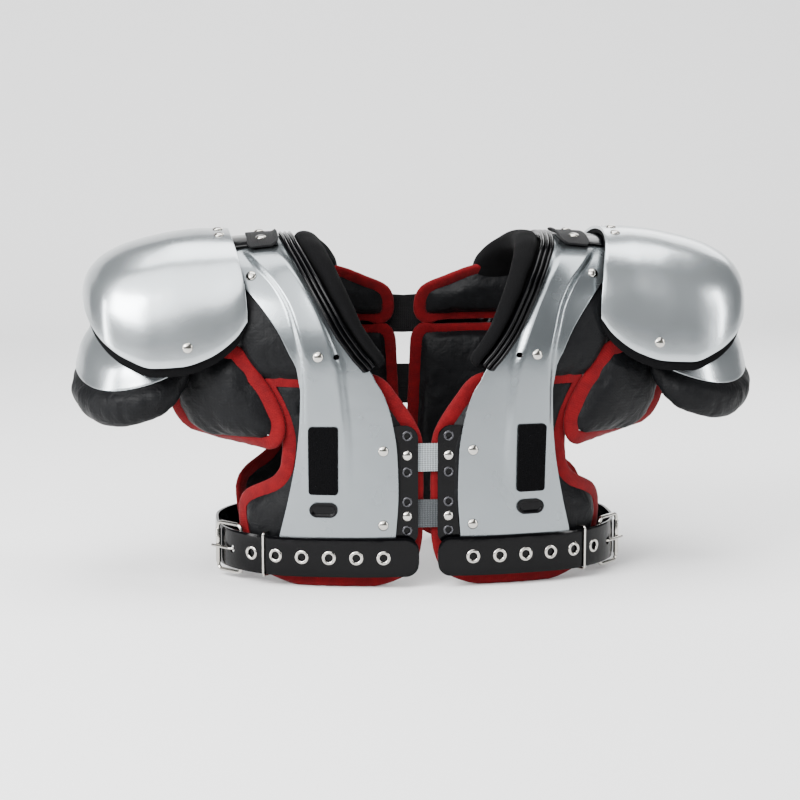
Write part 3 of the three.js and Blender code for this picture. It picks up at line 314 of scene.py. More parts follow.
def swept(name: str, stations: Sequence[Station], section: Callable[[float], Section],
          closed: bool = False) -> bpy.types.Object:
    """Sweep a closed section along stations.

    Args:
        name: the object's name.
        stations: the path, in millimetres.
        section: gives the section's points, as distances along out and normal, at a path share.
        closed: whether the path joins up; an open one gets rounded ends.

    Returns:
        The closed tube, with u round the section and v along the path in metres.
    """
    rings = [(station, section(i / (len(stations) - 1)), 1.0) for i, station in enumerate(stations)]
    if not closed:
        for end, step in ((0, 1), (len(stations) - 1, -1)):
            outline = section(0.0 if step == 1 else 1.0)
            reach = (max(b for _, b in outline) - min(b for _, b in outline)) / 2
            inwards = (stations[end + step].place - stations[end].place).normalized()
            for scale, setback in ((0.86, 0.3), (0.5, 0.5), (0.0, 0.55)):
                here = stations[end]
                cap = Station(here.place - inwards * reach * setback, here.out, here.normal)
                rings.insert(0 if step == 1 else len(rings), (cap, outline, scale))
    count = len(rings) if closed else len(rings) - 1
    sides = len(rings[0][1])
    lengths = [0.0]
    for i in range(count):
        gap = rings[(i + 1) % len(rings)][0].place - rings[i][0].place
        lengths.append(lengths[-1] + gap.length)
    around = [0.0]
    outline = rings[len(rings) // 2][1]
    for i, (along, rise) in enumerate(outline):
        following = outline[(i + 1) % sides]
        around.append(around[-1] + math.hypot(following[0] - along, following[1] - rise))

    def place(u: float, v: float) -> Vector:
        """Return the tube's point at shares round and along."""
        station, points, scale = rings[round(v * count) % len(rings)]
        middle = (sum(a for a, _ in points) / sides, sum(b for _, b in points) / sides)
        spot = points[round(u * sides) % sides]
        along = mix(middle[0], spot[0], scale)
        rise = mix(middle[1], spot[1], scale)
        return station.place + station.out * along + station.normal * rise

    piece = panel(name, (sides, count), place)
    for item in piece.data.uv_layers[0].data:
        u, v = item.uv
        item.uv = (around[round(u * sides)] * MM, lengths[round(v * count)] * MM)
    edit(piece, lambda: bpy.ops.mesh.remove_doubles(threshold=1e-6),
         lambda: bpy.ops.mesh.normals_make_consistent(inside=False))
    return piece


def rounded(width: float, height: float, radius: float, steps: int = 3,
            centre: tuple[float, float] = (0, 0)) -> list[tuple[float, float]]:
    """Return the points of a rounded rectangle, anticlockwise."""
    points = []
    for corner, (sx, sy) in enumerate(((1, -1), (1, 1), (-1, 1), (-1, -1))):
        for k in range(steps + 1):
            angle = math.pi / 2 * (corner - 1 + k / steps)
            points.append((centre[0] + sx * (width / 2 - radius) + radius * math.cos(angle),
                           centre[1] + sy * (height / 2 - radius) + radius * math.sin(angle)))
    return points


def joined(name: str, pieces: Sequence[bpy.types.Object]) -> bpy.types.Object:
    """Join meshes into one named object."""
    bpy.ops.object.select_all(action="DESELECT")
    for piece in pieces:
        piece.select_set(True)
    bpy.context.view_layer.objects.active = pieces[0]
    if len(pieces) > 1:
        bpy.ops.object.join()
    pieces[0].name = pieces[0].data.name = name
    return pieces[0]


def settle(piece: bpy.types.Object, matrix: Matrix) -> bpy.types.Object:
    """Move a mesh to its place while its object stays at the origin."""
    piece.matrix_world = Matrix.Identity(4)
    piece.data.transform(matrix)
    return piece


def upright(place: Vector, normal: Vector, along: Vector = Vector((0, 0, 1))) -> Matrix:
    """Return the frame at a place in millimetres whose third axis is a normal."""
    x = along.cross(normal).normalized()
    y = normal.cross(x)
    turn = Matrix((x, y, normal)).transposed().to_4x4()
    return Matrix.Translation(place * MM) @ turn


def rivet(place: Vector, normal: Vector, radius: float = 5.2, rise: float = 2.8) -> bpy.types.Object:
    """Make a domed rivet head with a rolled foot on a surface."""
    bpy.ops.object.select_all(action="DESELECT")
    bpy.ops.mesh.primitive_uv_sphere_add(segments=24, ring_count=14, radius=radius * MM)
    piece = bpy.context.object
    edit(piece, lambda: bpy.ops.mesh.bisect(plane_co=(0, 0, 0), plane_no=(0, 0, 1),
                                            clear_inner=True, use_fill=True),
         lambda: bpy.ops.mesh.select_all(action="SELECT"),
         lambda: bpy.ops.transform.resize(value=(1, 1, rise / radius), center_override=(0, 0, 0)))
    modify(piece, "BEVEL", width=0.4 * MM, segments=2, limit_method="ANGLE")
    return settle(smooth(piece), upright(place, normal))


def eyelet(place: Vector, normal: Vector, hole: float, flange: float) -> bpy.types.Object:
    """Make a rolled metal eyelet round a hole."""
    bpy.ops.object.select_all(action="DESELECT")
    middle, thick = (hole + flange) / 2, (flange - hole) / 2
    bpy.ops.mesh.primitive_torus_add(major_radius=middle * MM, minor_radius=thick * MM,
                                     major_segments=28, minor_segments=10)
    piece = bpy.context.object
    edit(piece, lambda: bpy.ops.transform.resize(value=(1, 1, 0.62), center_override=(0, 0, 0)))
    return settle(smooth(piece, 80), upright(place, normal))


DRILL_LENGTH = 30  # millimetres; a hole's place is the middle of the drill


def drill(piece: bpy.types.Object, holes: Iterable[tuple[Vector, Vector, float]]) -> None:
    """Cut round holes through a piece.

    Args:
        piece: the closed mesh.
        holes: each hole's place in millimetres, direction and radius.
    """
    cutters = []
    for place, normal, radius in holes:
        bpy.ops.object.select_all(action="DESELECT")
        bpy.ops.mesh.primitive_cylinder_add(vertices=24, radius=radius * MM, depth=DRILL_LENGTH * MM)
        cutters.append(settle(bpy.context.object, upright(place, normal)))
    cutter = joined("cutter", cutters)
    modify(piece, "BOOLEAN", object=cutter, operation="DIFFERENCE", solver="EXACT")
    bpy.data.objects.remove(cutter)


def crumple(spot: Vector, size: float, seed: float) -> float:
    """Return smooth noise from -1 to 1 at a place in millimetres."""
    return noise.noise(spot / size + Vector((seed, seed * 0.7, -seed)))


def rgb(code: str) -> tuple[float, float, float, float]:
    """Turn an sRGB hex value into the linear colour that a shader takes."""
    shares = [int(code[i:i + 2], 16) / 255 for i in (0, 2, 4)]
    linear = [v / 12.92 if v <= 0.04045 else ((v + 0.055) / 1.055) ** 2.4 for v in shares]
    return (*linear, 1.0)


def add(tree: bpy.types.NodeTree, kind: str, links: dict[str | int, object] | None = None,
        **settings: object) -> bpy.types.Node:
    """Add a node with its settings, input values and links.

    Args:
        tree: the node tree.
        kind: the node's type name after ShaderNode.
        links: values or output sockets by input.
        settings: the node's properties by name.

    Returns:
        The node.
    """
    node = tree.nodes.new("ShaderNode" + kind)
    for name, value in settings.items():
        setattr(node, name, value)
    for socket, value in (links or {}).items():
        if isinstance(value, bpy.types.NodeSocket):
            tree.links.new(value, node.inputs[socket])
        else:
            node.inputs[socket].default_value = value
    return node


def work(tree: bpy.types.NodeTree, operation: str, *values: object) -> bpy.types.NodeSocket:
    """Return the result of one step of arithmetic on values or output sockets."""
    return add(tree, "Math", dict(enumerate(values)), operation=operation).outputs[0]


def blend(tree: bpy.types.NodeTree, factor: bpy.types.NodeSocket, *colors: object,
          ) -> bpy.types.NodeSocket:
    """Return a colour between two, each a hex value or an output socket."""
    low, high = (rgb(color) if isinstance(color, str) else color for color in colors)
    return add(tree, "Mix", {"Factor": factor, 6: low, 7: high}, data_type="RGBA").outputs[2]


def mapped(tree: bpy.types.NodeTree) -> list[bpy.types.NodeSocket]:
    """Return the places across and along on a piece's own map, in metres."""
    return list(add(tree, "SeparateXYZ", {0: add(tree, "TexCoord").outputs["UV"]}).outputs)[:2]


def waves(tree: bpy.types.NodeTree, place: bpy.types.NodeSocket, pitch_mm: float,
          ) -> bpy.types.NodeSocket:
    """Return a sine that repeats at a real pitch."""
    return work(tree, "SINE", work(tree, "MULTIPLY", place, math.tau / (pitch_mm * MM)))


@dataclass(frozen=True)
class Grain:
    """A pattern of a real size, fixed to the piece, and the relief that it raises."""

    size_mm: float
    detail: float = 2
    strength: float = 0
    depth_mm: float = 0
    cells: bool = False

    def draw(self, tree: bpy.types.NodeTree, **values: float) -> bpy.types.NodeSocket:
        """Return the pattern, as cells or as noise with its further values."""
        spot = add(tree, "TexCoord").outputs["Object"]
        links = {"Vector": spot, "Scale": 1 / (self.size_mm * MM), **values}
        if self.cells:
            return add(tree, "TexVoronoi", links).outputs[0]
        return add(tree, "TexNoise", {**links, "Detail": self.detail}).outputs[0]


@dataclass(frozen=True)
class Finish:
    """A surface finish: the record's slot it stands for, its shader's values and its grain."""

    name: str
    slot: str
    color: str
    roughness: float
    values: dict[str, float] = field(default_factory=dict)
    rub: Grain | None = None                 # where the gloss is rubbed or smudged
    rub_range: tuple[float, float] = (0, 0)  # what the rub adds to the roughness
    reliefs: tuple[Grain, ...] = ()          # the broadest first

    def material(self) -> bpy.types.Material:
        """Return the finish's material, made once."""
        found = bpy.data.materials.get(self.name)
        if found:
            return found
        made = bpy.data.materials.new(self.name)
        made.use_nodes = True
        tree = made.node_tree
        shader = tree.nodes["Principled BSDF"]
        shader.inputs["Base Color"].default_value = rgb(self.color)
        shader.inputs["Roughness"].default_value = self.roughness
        for socket, value in self.values.items():
            shader.inputs[socket].default_value = value
        self.detail(tree, shader)
        return made

    def detail(self, tree: bpy.types.NodeTree, shader: bpy.types.Node) -> None:
        """Add the rubbed gloss and the relief."""
        if self.rub:
            self.vary_gloss(tree, shader, self.rub.draw(tree))
        self.emboss(tree, shader, [(grain.draw(tree), grain) for grain in self.reliefs])

    def vary_gloss(self, tree: bpy.types.NodeTree, shader: bpy.types.Node,
                   pattern: bpy.types.NodeSocket) -> None:
        """Vary the roughness over a pattern."""
        low, high = (self.roughness + change for change in self.rub_range)
        tree.links.new(self.spread(tree, pattern, low, high), shader.inputs["Roughness"])

    @staticmethod
    def emboss(tree: bpy.types.NodeTree, shader: bpy.types.Node,
               layers: Sequence[tuple[bpy.types.NodeSocket, Grain]]) -> None:
        """Stack bumps, each from a pattern and the grain that says how deep it goes."""
        for height, grain in layers:
            bump = add(tree, "Bump", {"Height": height, "Strength": grain.strength,
                                      "Distance": grain.depth_mm * MM})
            for link in shader.inputs["Normal"].links:
                tree.links.new(link.from_socket, bump.inputs["Normal"])
            tree.links.new(bump.outputs[0], shader.inputs["Normal"])

    @staticmethod
    def spread(tree: bpy.types.NodeTree, value: bpy.types.NodeSocket, low: float, high: float,
               least: float = 0.0) -> bpy.types.NodeSocket:
        """Return a value that runs from least to 1 spread over a range."""
        return add(tree, "MapRange", {"Value": value, "From Min": least, "To Min": low,
                                      "To Max": high}).outputs[0]


@dataclass(frozen=True)
class PackCloth(Finish):
    """Plain-woven nylon over foam: a dull sheen that breaks up over small creases."""

    crease: Grain = Grain(13, 4, 0.75, 2.2)
    thread: Grain = Grain(2.9594, 0, 0.25, 0.3)  # coarser than the real 0.4 mm so that it shows
    # painted shade: the colour in the creases' hollows
    painted_hollow_shade: str = "050506"
    wave_turns: float = 20  # radians that a wave texture of scale 1 turns in a metre

    def detail(self, tree: bpy.types.NodeTree, shader: bpy.types.Node) -> None:
        """Add creases, the weave and painted shade in the creases' hollows."""
        creases = self.crease.draw(tree, Roughness=0.55, Distortion=0.9)
        spot = add(tree, "TexCoord").outputs["Object"]
        scale = math.tau / (self.wave_turns * self.thread.size_mm * MM)
        weave = work(tree, "MULTIPLY", *[
            add(tree, "TexWave", {"Vector": spot, "Scale": scale}, bands_direction=axis).outputs[1]
            for axis in "ZX"])
        # Painted shade: the base colour darkens from the cloth's own colour on the creases' crests to near
        # black in their hollows.
        shade = add(tree, "ValToRGB", {"Fac": creases})
        for stop, color in zip(shade.color_ramp.elements, (self.painted_hollow_shade, self.color)):
            stop.color = rgb(color)
        tree.links.new(shade.outputs[0], shader.inputs["Base Color"])
        self.vary_gloss(tree, shader, creases)
        self.emboss(tree, shader, ((creases, self.crease), (weave, self.thread)))


@dataclass(frozen=True)
class RibbedTape(Finish):
    """Grosgrain tape: cross ribs, with a line of lockstitch along its folded edge."""

    rib: Grain = Grain(2, 0, 0.55, 0.5)
    cloud: Grain = Grain(9, 3)
    dark: str = "420409"
    thread: str = "260305"
    thread_mm: float = 0.4
    stitch_mm: float = 4
    stitch_share: float = 0.7
    stitch_at_mm: float = 1.9

    def detail(self, tree: bpy.types.NodeTree, shader: bpy.types.Node) -> None:
        """Add ribs, stitches and a worn shade, laid out by the tape's own map."""
        across, along = mapped(tree)
        ribs = self.spread(tree, waves(tree, along, self.rib.size_mm), 0.5, 1, -1)
        beat = work(tree, "FRACT", work(tree, "MULTIPLY", along, 1 / (self.stitch_mm * MM)))
        line = work(tree, "COMPARE", across, self.stitch_at_mm * MM, self.thread_mm * MM)
        stitch = work(tree, "MULTIPLY", work(tree, "LESS_THAN", beat, self.stitch_share), line)
        worn = blend(tree, self.cloud.draw(tree), self.dark, self.color)
        tree.links.new(blend(tree, stitch, worn, self.thread), shader.inputs["Base Color"])
        self.emboss(tree, shader, ((work(tree, "SUBTRACT", ribs, stitch), self.rib),))


@dataclass(frozen=True)
class WovenBand(Finish):
    """Webbing or elastic: lengthwise cords crossed by a close weft."""

    cord: Grain = Grain(2.2, 0, 0.4, 0.5)
    weft_share: float = 0.8
    # painted shade: the colour between the cords and the weft
    painted_hollow_shade: str = "060607"

    def detail(self, tree: bpy.types.NodeTree, shader: bpy.types.Node) -> None:
        """Add the cords and the weft, with painted shade in their hollows, laid out by the band's own map.
        """
        pitches = (self.cord.size_mm, self.cord.size_mm * self.weft_share)
        weave = work(tree, "ADD", *[waves(tree, place, pitch)
                                    for place, pitch in zip(mapped(tree), pitches)])
        # Painted shade: the base colour darkens to near black in the hollows between the cords and the weft.
        shade = self.spread(tree, weave, 0.45, 1, -1)
        tree.links.new(blend(tree, shade, self.painted_hollow_shade, self.color), shader.inputs["Base Color"])
        self.emboss(tree, shader, ((weave, self.cord),))


# Lacquered polyethylene keeps faint moulding waves and smudges; vinyl has a calendered grain and
# buckles softly; plated metal carries light tumbling marks.
LACQUERED = {"rub": Grain(30), "rub_range": (-0.04, 0.06),
             "reliefs": (Grain(45, 3, 0.35, 1.2), Grain(1.6, 1, 0.05, 0.3))}
TUMBLED = {"rub": Grain(2.5, 3), "rub_range": (-0.05, 0.08)}
# The arch and the cap are one silver lacquer: the arch's copy has a darker base as painted shade, and the
# copy on the cap and the flap has a brighter base as painted light.
SHADE_DARKENED_SILVER = Finish("silver lacquered arch", "silver_shell", "82888b", 0.25,
                {"Metallic": 0.92, "Coat Weight": 0.35, "Coat Roughness": 0.06}, **LACQUERED)
LIGHT_BRIGHTENED_SILVER = Finish("silver lacquered cap", "silver_shell", "b5bbbe", 0.24,
                       {"Metallic": 0.92, "Coat Weight": 0.4, "Coat Roughness": 0.06}, **LACQUERED)
VINYL = Finish("calendered black vinyl", "black_vinyl", "030304", 0.1,
               {"Coat Weight": 0.05, "Coat Roughness": 0.03, "Specular IOR Level": 0.1},
               Grain(24), (-0.08, 0.14),
               (Grain(24, 2, 0.5, 1.6), Grain(1.4, 0, 0.12, 0.3, cells=True)))
NYLON = PackCloth("black pack cloth", "black_nylon", "0e0f11", 0.5, {"Specular IOR Level": 0.11},
                  rub_range=(-0.1, 0.12))
TAPE = RibbedTape("red grosgrain tape", "red_tape", "6f060d", 0.75,
                  {"Sheen Weight": 0.04, "Specular IOR Level": 0.1})
WEBBING = WovenBand("black polypropylene webbing", "black_webbing", "0c0c0e", 0.75,
                    {"Specular IOR Level": 0.25})
LIGHT_ELASTIC, DARK_ELASTIC = (
    WovenBand(f"{tone} grey elastic", "grey_elastic", color, 0.8, cord=Grain(2.6, 0, 0.4, 0.5))
    for tone, color in (("light", "8f9699"), ("dark", "3c4043")))
FOAM = Finish("napped black foam", "black_foam", "070708", 0.92, {"Specular IOR Level": 0.08},
              reliefs=(Grain(18, 2, 0.4, 1), Grain(1.3, 2, 0.5, 0.5)))
HOOKS = Finish("black hook tape", "black_webbing", "030304", 0.8, {"Specular IOR Level": 0.05},
               reliefs=(Grain(1.5, 0, 0.9, 0.8, cells=True),))
NICKEL = Finish("tumbled nickel plate", "nickel", "bab7b1", 0.13, {"Metallic": 1}, **TUMBLED)
BLACKENED = Finish("blackened brass", "nickel", "4a4a4d", 0.25, {"Metallic": 1}, **TUMBLED)


def claim(piece: bpy.types.Object, name: str, finish: Finish, nodes: Sequence[str]) -> None:
    """Name a piece, give it its finish, and move it to the part's frame.

    Args:
        piece: the piece, in the form's own place.
        name: its name, without the ending that dressed pieces share.
        finish: its finish.
        nodes: the CAD nodes that it stands for.
    """
    piece.data.materials.clear()
    piece.data.materials.append(finish.material())
    piece.name = piece.data.name = f"{name}_dressed"
    piece.data.transform(Matrix.Translation(FORM.shift * MM))
    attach(piece, "root")
    if nodes:
        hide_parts(*nodes)
    log.info("%s in %s, %d faces", name, finish.name, len(piece.data.polygons))


def dress(piece: bpy.types.Object, finish: Finish, nodes: Sequence[str] = (),
          fill: float | None = None) -> None:
    """Give a right-hand piece its finish, and make its mirrored left-hand twin.

    Args:
        piece: the right half's piece, in the form's own place.
        finish: its finish.
        nodes: the plain names of the CAD nodes that it stands for on each side.
        fill: how full a padded piece is; None where it isn't padded. Not used.
    """
    base = piece.name
    twin = piece.copy()
    twin.data = piece.data.copy()
    bpy.context.scene.collection.objects.link(twin)
    twin.data.transform(Matrix.Scale(-1, 4, (1, 0, 0)))
    twin.data.flip_normals()
    for side, one in ((Side.RIGHT, piece), (Side.LEFT, twin)):
        claim(one, f"{base}_{side.value}", finish, [f"{node}_{side.value}" for node in nodes])


@dataclass
class ArchShell:
    """The moulded arch from chest to back, with its raised rib, vents, trim and rivets."""

    wall: float = 3
    reach: float = 145
    rib_rise: float = 4
    rib_foot: float = 9
    corner: float = 14
    end_path: float = 0.965
    vent_radius: float = 2.8
    vents: tuple = ((-0.44, 0.60), (-0.1, 0.965))
    trim_width: float = 14
    trim_rise: float = 4
    trim_gap: float = 0.6
    trim_lip: float = 2
    trim_start: float = -0.46
    trim_end: float = 0.335
    # path, inner edge, rib's inner side, rib's outer side, outer edge, share of the rib's rise
    rows: tuple = (
        (-0.965, 0.226, 0.552, 0.779, 1.02, 0), (-0.88, 0.216, 0.552, 0.779, 0.972, 0),
        (-0.76, 0.197, 0.552, 0.779, 0.900, 0.1), (-0.66, 0.206, 0.552, 0.786, 0.855, 0.55),
        (-0.58, 0.238, 0.566, 0.786, 0.838, 1), (-0.51, 0.298, 0.586, 0.786, 0.834, 1),
        (-0.46, 0.393, 0.607, 0.793, 0.860, 1), (-0.44, 0.455, 0.628, 0.800, 0.897, 1),
        (-0.39, 0.566, 0.683, 0.834, 0.972, 0.9), (-0.335, 0.648, 0.745, 0.876, 1.069, 0.8),
        (-0.275, 0.724, 0.821, 0.952, 1.179, 0.8), (-0.2, 0.800, 0.910, 1.076, 1.297, 0.8),
        (-0.1, 0.869, 0.993, 1.180, 1.379, 0), (0, 0.890, 1.021, 1.228, 1.407, 0),
        (0.1, 0.855, 0.993, 1.193, 1.379, 0), (0.2, 0.759, 0.903, 1.069, 1.290, 0.8),
        (0.275, 0.655, 0.814, 0.972, 1.179, 0.8), (0.335, 0.559, 0.745, 0.903, 1.083, 0.8),
        (0.39, 0.469, 0.683, 0.855, 1.007, 0.9), (0.44, 0.393, 0.641, 0.821, 0.945, 1),
        (0.51, 0.303, 0.593, 0.793, 0.890, 1), (0.66, 0.214, 0.552, 0.786, 0.869, 0.55),
        (0.88, 0.193, 0.552, 0.779, 0.952, 0), (0.965, 0.207, 0.552, 0.779, 0.986, 0))
    rivet_line: float = 43
    chest_rivet: float = 133                 # the height of the centre rivet
    upper_rivet: tuple = (104, -0.44)
    rivets: tuple = ((165, -0.235), (43, -0.654), (43, -0.841), (150, 0.26), (60, 0.66), (60, 0.84))

    def edge(self, column: int, path: float) -> float:
        """Return an edge's distance from the centre at a path."""
        return bend(self.rows, column, path) * self.reach

    def rise(self, x: float, path: float) -> float:
        """Return how far the rib stands above the plain shell at a place."""
        inner, outer = self.edge(2, path), self.edge(3, path)
        foot = min(self.rib_foot, (inner - self.edge(1, path)) * 0.55)
        flank = ease(x, inner - foot, inner) * (1 - ease(x, outer, outer + self.rib_foot * 0.8))
        dish = 0.85 + 0.15 * abs(2 * (x - inner) / (outer - inner) - 1) ** 2
        return self.rib_rise * bend(self.rows, 5, path) * flank * min(1, dish)

    def surface(self, x: float, path: float, proud: float = 0) -> Vector:
        """Return a point on the shell's outside."""
        return FORM.layer(x, path, self.wall + self.rise(x, path) + proud)

    def place(self, across: float, along: float) -> Vector:
        """Return the outside's point at shares across and along."""
        path = self.end_path * (2 * along - 1)
        inset = corner_inset(self.corner, (self.end_path - abs(path)) * FORM.path_length)
        x = mix(self.edge(1, path) + inset, self.edge(4, path) - inset, across)
        return self.surface(x, path)

    def build_shell(self) -> None:
        """Make the shell with its vent holes."""
        shell = walled(panel("arch_shell", (64, 176), self.place), self.wall, 0.9, 3, even=True)
        spots = [(share * self.reach, path) for path, share in self.vents]
        drill(shell, [(self.surface(x, path), FORM.normal(x, path), self.vent_radius)
                      for x, path in spots])
        # The arch's silver has a darker base as painted shade.
        dress(smooth(shell), SHADE_DARKENED_SILVER, ["arch_shell"])

    def neck_stations(self, first: float, last: float, count: int) -> list[Station]:
        """Return stations along the neck edge with out pointing into the neck."""
        stations = []
        for i in range(count + 1):
            path = mix(first, last, i / count)
            edge = FORM.point(self.edge(1, path), path)
            step = 0.004
            along = (FORM.point(self.edge(1, path + step), path + step)
                     - FORM.point(self.edge(1, path - step), path - step)).normalized()
            normal = FORM.normal(self.edge(1, path), path)
            stations.append(Station(edge, along.cross(normal).normalized(), normal))
        if stations[0].out.x > 0:
            for station in stations:
                station.out.negate()
        return stations

    def trim_section(self, _share: float) -> Section:
        """Return the trim's section: three rolled ridges and a lip over the shell's edge."""
        half, base = self.trim_width / 2, self.wall + self.trim_gap
        ridges, steps = 3, 30
        top = [(mix(-half, half, k / steps),
                base + self.trim_rise * (0.42 + 0.58 * abs(math.sin(math.pi * ridges * k / steps)) ** 0.7))
               for k in range(steps + 1)]
        return top + [(half + 0.3, -self.trim_lip + 1), (half - 0.6, -self.trim_lip),
                      (1.4, -self.trim_lip), (1.0, base), (-half, base)]

    def build_trim(self) -> None:
        """Make the ribbed trim along the neck edge."""
        trim = swept("neck_trim", self.neck_stations(self.trim_start, self.trim_end, 110),
                     self.trim_section)
        dress(smooth(trim, 60), VINYL, ["neck_trim"])

    def build_rivets(self) -> None:
        """Make the rivets that stand on the shell."""
        chest_path = FORM.path_at(self.chest_rivet, Leg.FRONT)
        for name, x, path in (("rivet_centre", self.rivet_line, chest_path),
                              ("rivet_chest", *self.upper_rivet)):
            dress(rivet(self.surface(x, path, 0.1), FORM.normal(x, path)), NICKEL, [name])
        heads = [rivet(self.surface(x, path, 0.1), FORM.normal(x, path)) for x, path in self.rivets]
        dress(joined("arch_rivets", heads), NICKEL)

    def build(self) -> None:
        """Make the arch and what is fixed to it."""
        self.build_shell()
        self.build_trim()
        self.build_rivets()


@dataclass
class Collar:
    """The napped foam collar that lines the neck opening."""

    arch: ArchShell
    start: float = -0.46
    end: float = 0.3
    tuck: float = 13
    reach: float = 32
    depth: float = 14
    lip: float = 8.2
    gap: float = 0.6
    fill: float = 0.8
    # path, share of the reach
    rows: tuple = ((-0.46, 0.42), (-0.39, 0.55), (-0.335, 0.66), (-0.275, 0.78), (-0.2, 0.90),
                   (-0.1, 1), (0, 1), (0.2, 1), (0.25, 0.92), (0.275, 0.8), (0.3, 0.6))
    # share of the way from the lip into the neck, height
    profile: tuple = ((0.06, 4.4), (0.3, 8), (0.7, 6.8), (0.97, 1.6), (1, -4), (0.92, -12.6), (0.3, -16))

    def section(self, share: float) -> Section:
        """Return the collar's section at a share of its length."""
        reach = mix(self.lip, self.reach, bend(self.rows, 1, mix(self.start, self.end, share)))
        low = -self.arch.trim_lip - self.gap
        outline = [(mix(self.lip, reach, out), rise) for out, rise in self.profile]
        return softened([(-self.tuck, low), (self.lip, low), *outline, (-self.tuck, -self.depth)])

    def build(self) -> None:
        """Make the collar, slightly lumpy as worn foam is."""
        pad = swept("neck_pad", self.arch.neck_stations(self.start, self.end, 100), self.section)
        for vertex in pad.data.vertices:
            vertex.co += vertex.normal * crumple(vertex.co / MM, 22, 3) * 0.9 * MM
        dress(smooth(pad, 70), FOAM, ["neck_pad"], self.fill)


@dataclass
class Pad:
    """A quilted pad and the tape round its edge."""

    name: str
    point: Callable[[float, float], Vector]   # a place on the mid surface, by shares
    normal: Callable[[float, float], Vector]
    size: tuple[float, float]                 # rough width and length in millimetres
    bulge_out: float
    bulge_in: float
    seed: float
    tape: str | None = None
    tape_wall: float = 5.6
    tape_width: float = 9.6
    tape_overlap: float = 4.4
    narrow_side: int | None = None    # the side of the rim, counted round, where the tape is narrow
    crown: float = 26                 # how far in from its edge the pad is full
    pucker: float = 1.0
    rim_half: float = 1.3
    lump: float = 1.6
    steps: tuple[int, int] = (44, 60)

    def fill(self, across: float, along: float) -> float:
        """Return how far the pad is filled at a place, from 0 at its edge to 1."""
        gaps = (min(across, 1 - across) * self.size[0], min(along, 1 - along) * self.size[1])
        parts = [1 - (1 - min(1.0, gap / self.crown)) ** 2.4 for gap in gaps]
        return parts[0] * parts[1]

    def gathers(self, across: float, along: float) -> float:
        """Return the gathers in millimetres that the sewn edge pulls into the cloth."""
        width, length = self.size
        total = 0.0
        sides = ((across * width, along * length, 0.0), ((1 - across) * width, along * length, 2.0),
                 (along * length, across * width, 4.0), ((1 - along) * length, across * width, 6.0))
        for gap, run, phase in sides:
            wander = noise.noise(Vector((run / 21, phase, self.seed))) * 5
            wave = math.sin(run / 2.9 + wander + phase)
            total += wave * math.exp(-gap / 11) * (1 - math.exp(-gap / 2.5))
        return total * self.pucker

    def build_pad(self, nodes: Sequence[str]) -> None:
        """Make the pad as one closed pillow."""
        across_steps, along_steps = self.steps

        def place(u: float, v: float) -> Vector:
            """Return the pillow's point: u runs over the front and back under the back."""
            front = u <= 0.5
            spread, along = closer(2 * u if front else 2 - 2 * u), closer(v)
            middle, normal = self.point(spread, along), self.normal(spread, along)
            fill = self.fill(spread, along)
            if fill < 1e-6:
                return middle
            lumps = crumple(middle, 30, self.seed) * self.lump * fill
            way, bulge, at, crease = (1, self.bulge_out, along, 0.8) if front else (
                -1, self.bulge_in, 1 - along, 1.2)
            return middle + normal * way * (self.rim_half * fill ** 0.12 + bulge * fill
                                            + (self.gathers(spread, at) + lumps) * crease)

        pad = panel(self.name, (2 * across_steps, along_steps), place)
        edit(pad, lambda: bpy.ops.mesh.remove_doubles(threshold=2e-6),
             lambda: bpy.ops.mesh.normals_make_consistent(inside=False))
        rim = self.rim()
        seam = KDTree(len(rim))
        for i, station in enumerate(rim):
            seam.insert(station.place, i)
        seam.balance()
        inflate(pad, lambda spot: ease(seam.find(spot)[2], 3, 14))
        dress(smooth(pad, 80), NYLON, nodes, 0.6)

    def rim(self, spacing: float = 3.2) -> list[Station]:
        """Return stations round the pad's edge with out pointing away from the pad."""
        counts = [max(6, int(length / spacing)) for length in self.size]
        loop = [(i / counts[0], 0.0) for i in range(counts[0])]
        loop += [(1.0, i / counts[1]) for i in range(counts[1])]
        loop += [(1 - i / counts[0], 1.0) for i in range(counts[0])]
        loop += [(0.0, 1 - i / counts[1]) for i in range(counts[1])]
        places = [self.point(u, v) for u, v in loop]
        for _ in range(3):
            places = [(places[i - 1] + places[i] * 2 + places[(i + 1) % len(places)]) / 4
                      for i in range(len(places))]
        stations, balance = [], 0.0
        centre = sum(places, Vector()) / len(places)
        for i, (u, v) in enumerate(loop):
            along = (places[(i + 1) % len(places)] - places[i - 1]).normalized()
            normal = self.normal(u, v)
            out = along.cross(normal).normalized()
            balance += out.dot(places[i] - centre)
            stations.append(Station(places[i], out, normal))
        if balance < 0:
            for station in stations:
                station.out.negate()
        return stations

    def tape_reach(self, share: float) -> float:
        """Return the tape's width beyond the pad at a share of the way round."""
        if self.narrow_side is None:
            return self.tape_width
        total = 2 * sum(self.size)
        starts = [0, self.size[0], sum(self.size), total - self.size[1], total]
        into = min(share * total - starts[self.narrow_side], starts[self.narrow_side + 1] - share * total)
        return self.tape_width * (1 - 0.45 * ease(into, -2, 14))

    def tape_section(self, share: float) -> Section:
        """Return the folded tape's section."""
        near, far, half = -self.tape_overlap, self.tape_reach(share), self.tape_wall / 2
        return [(near, -half + 0.4), (near + 0.8, -half), (far * 0.55, -half), (far * 0.86, -half * 0.86),
                (far, -half * 0.35), (far, half * 0.35), (far * 0.86, half * 0.86), (far * 0.55, half),
                (near + 0.8, half), (near, half - 0.4)]

    def build_tape(self, nodes: Sequence[str]) -> None:
        """Make the tape round the pad's edge."""
        tape = swept(self.tape, self.rim(), self.tape_section, closed=True)
        for vertex in tape.data.vertices:
            vertex.co += vertex.normal * crumple(vertex.co / MM, 7, self.seed + 9) * 0.35 * MM
        dress(smooth(tape, 60), TAPE, nodes)


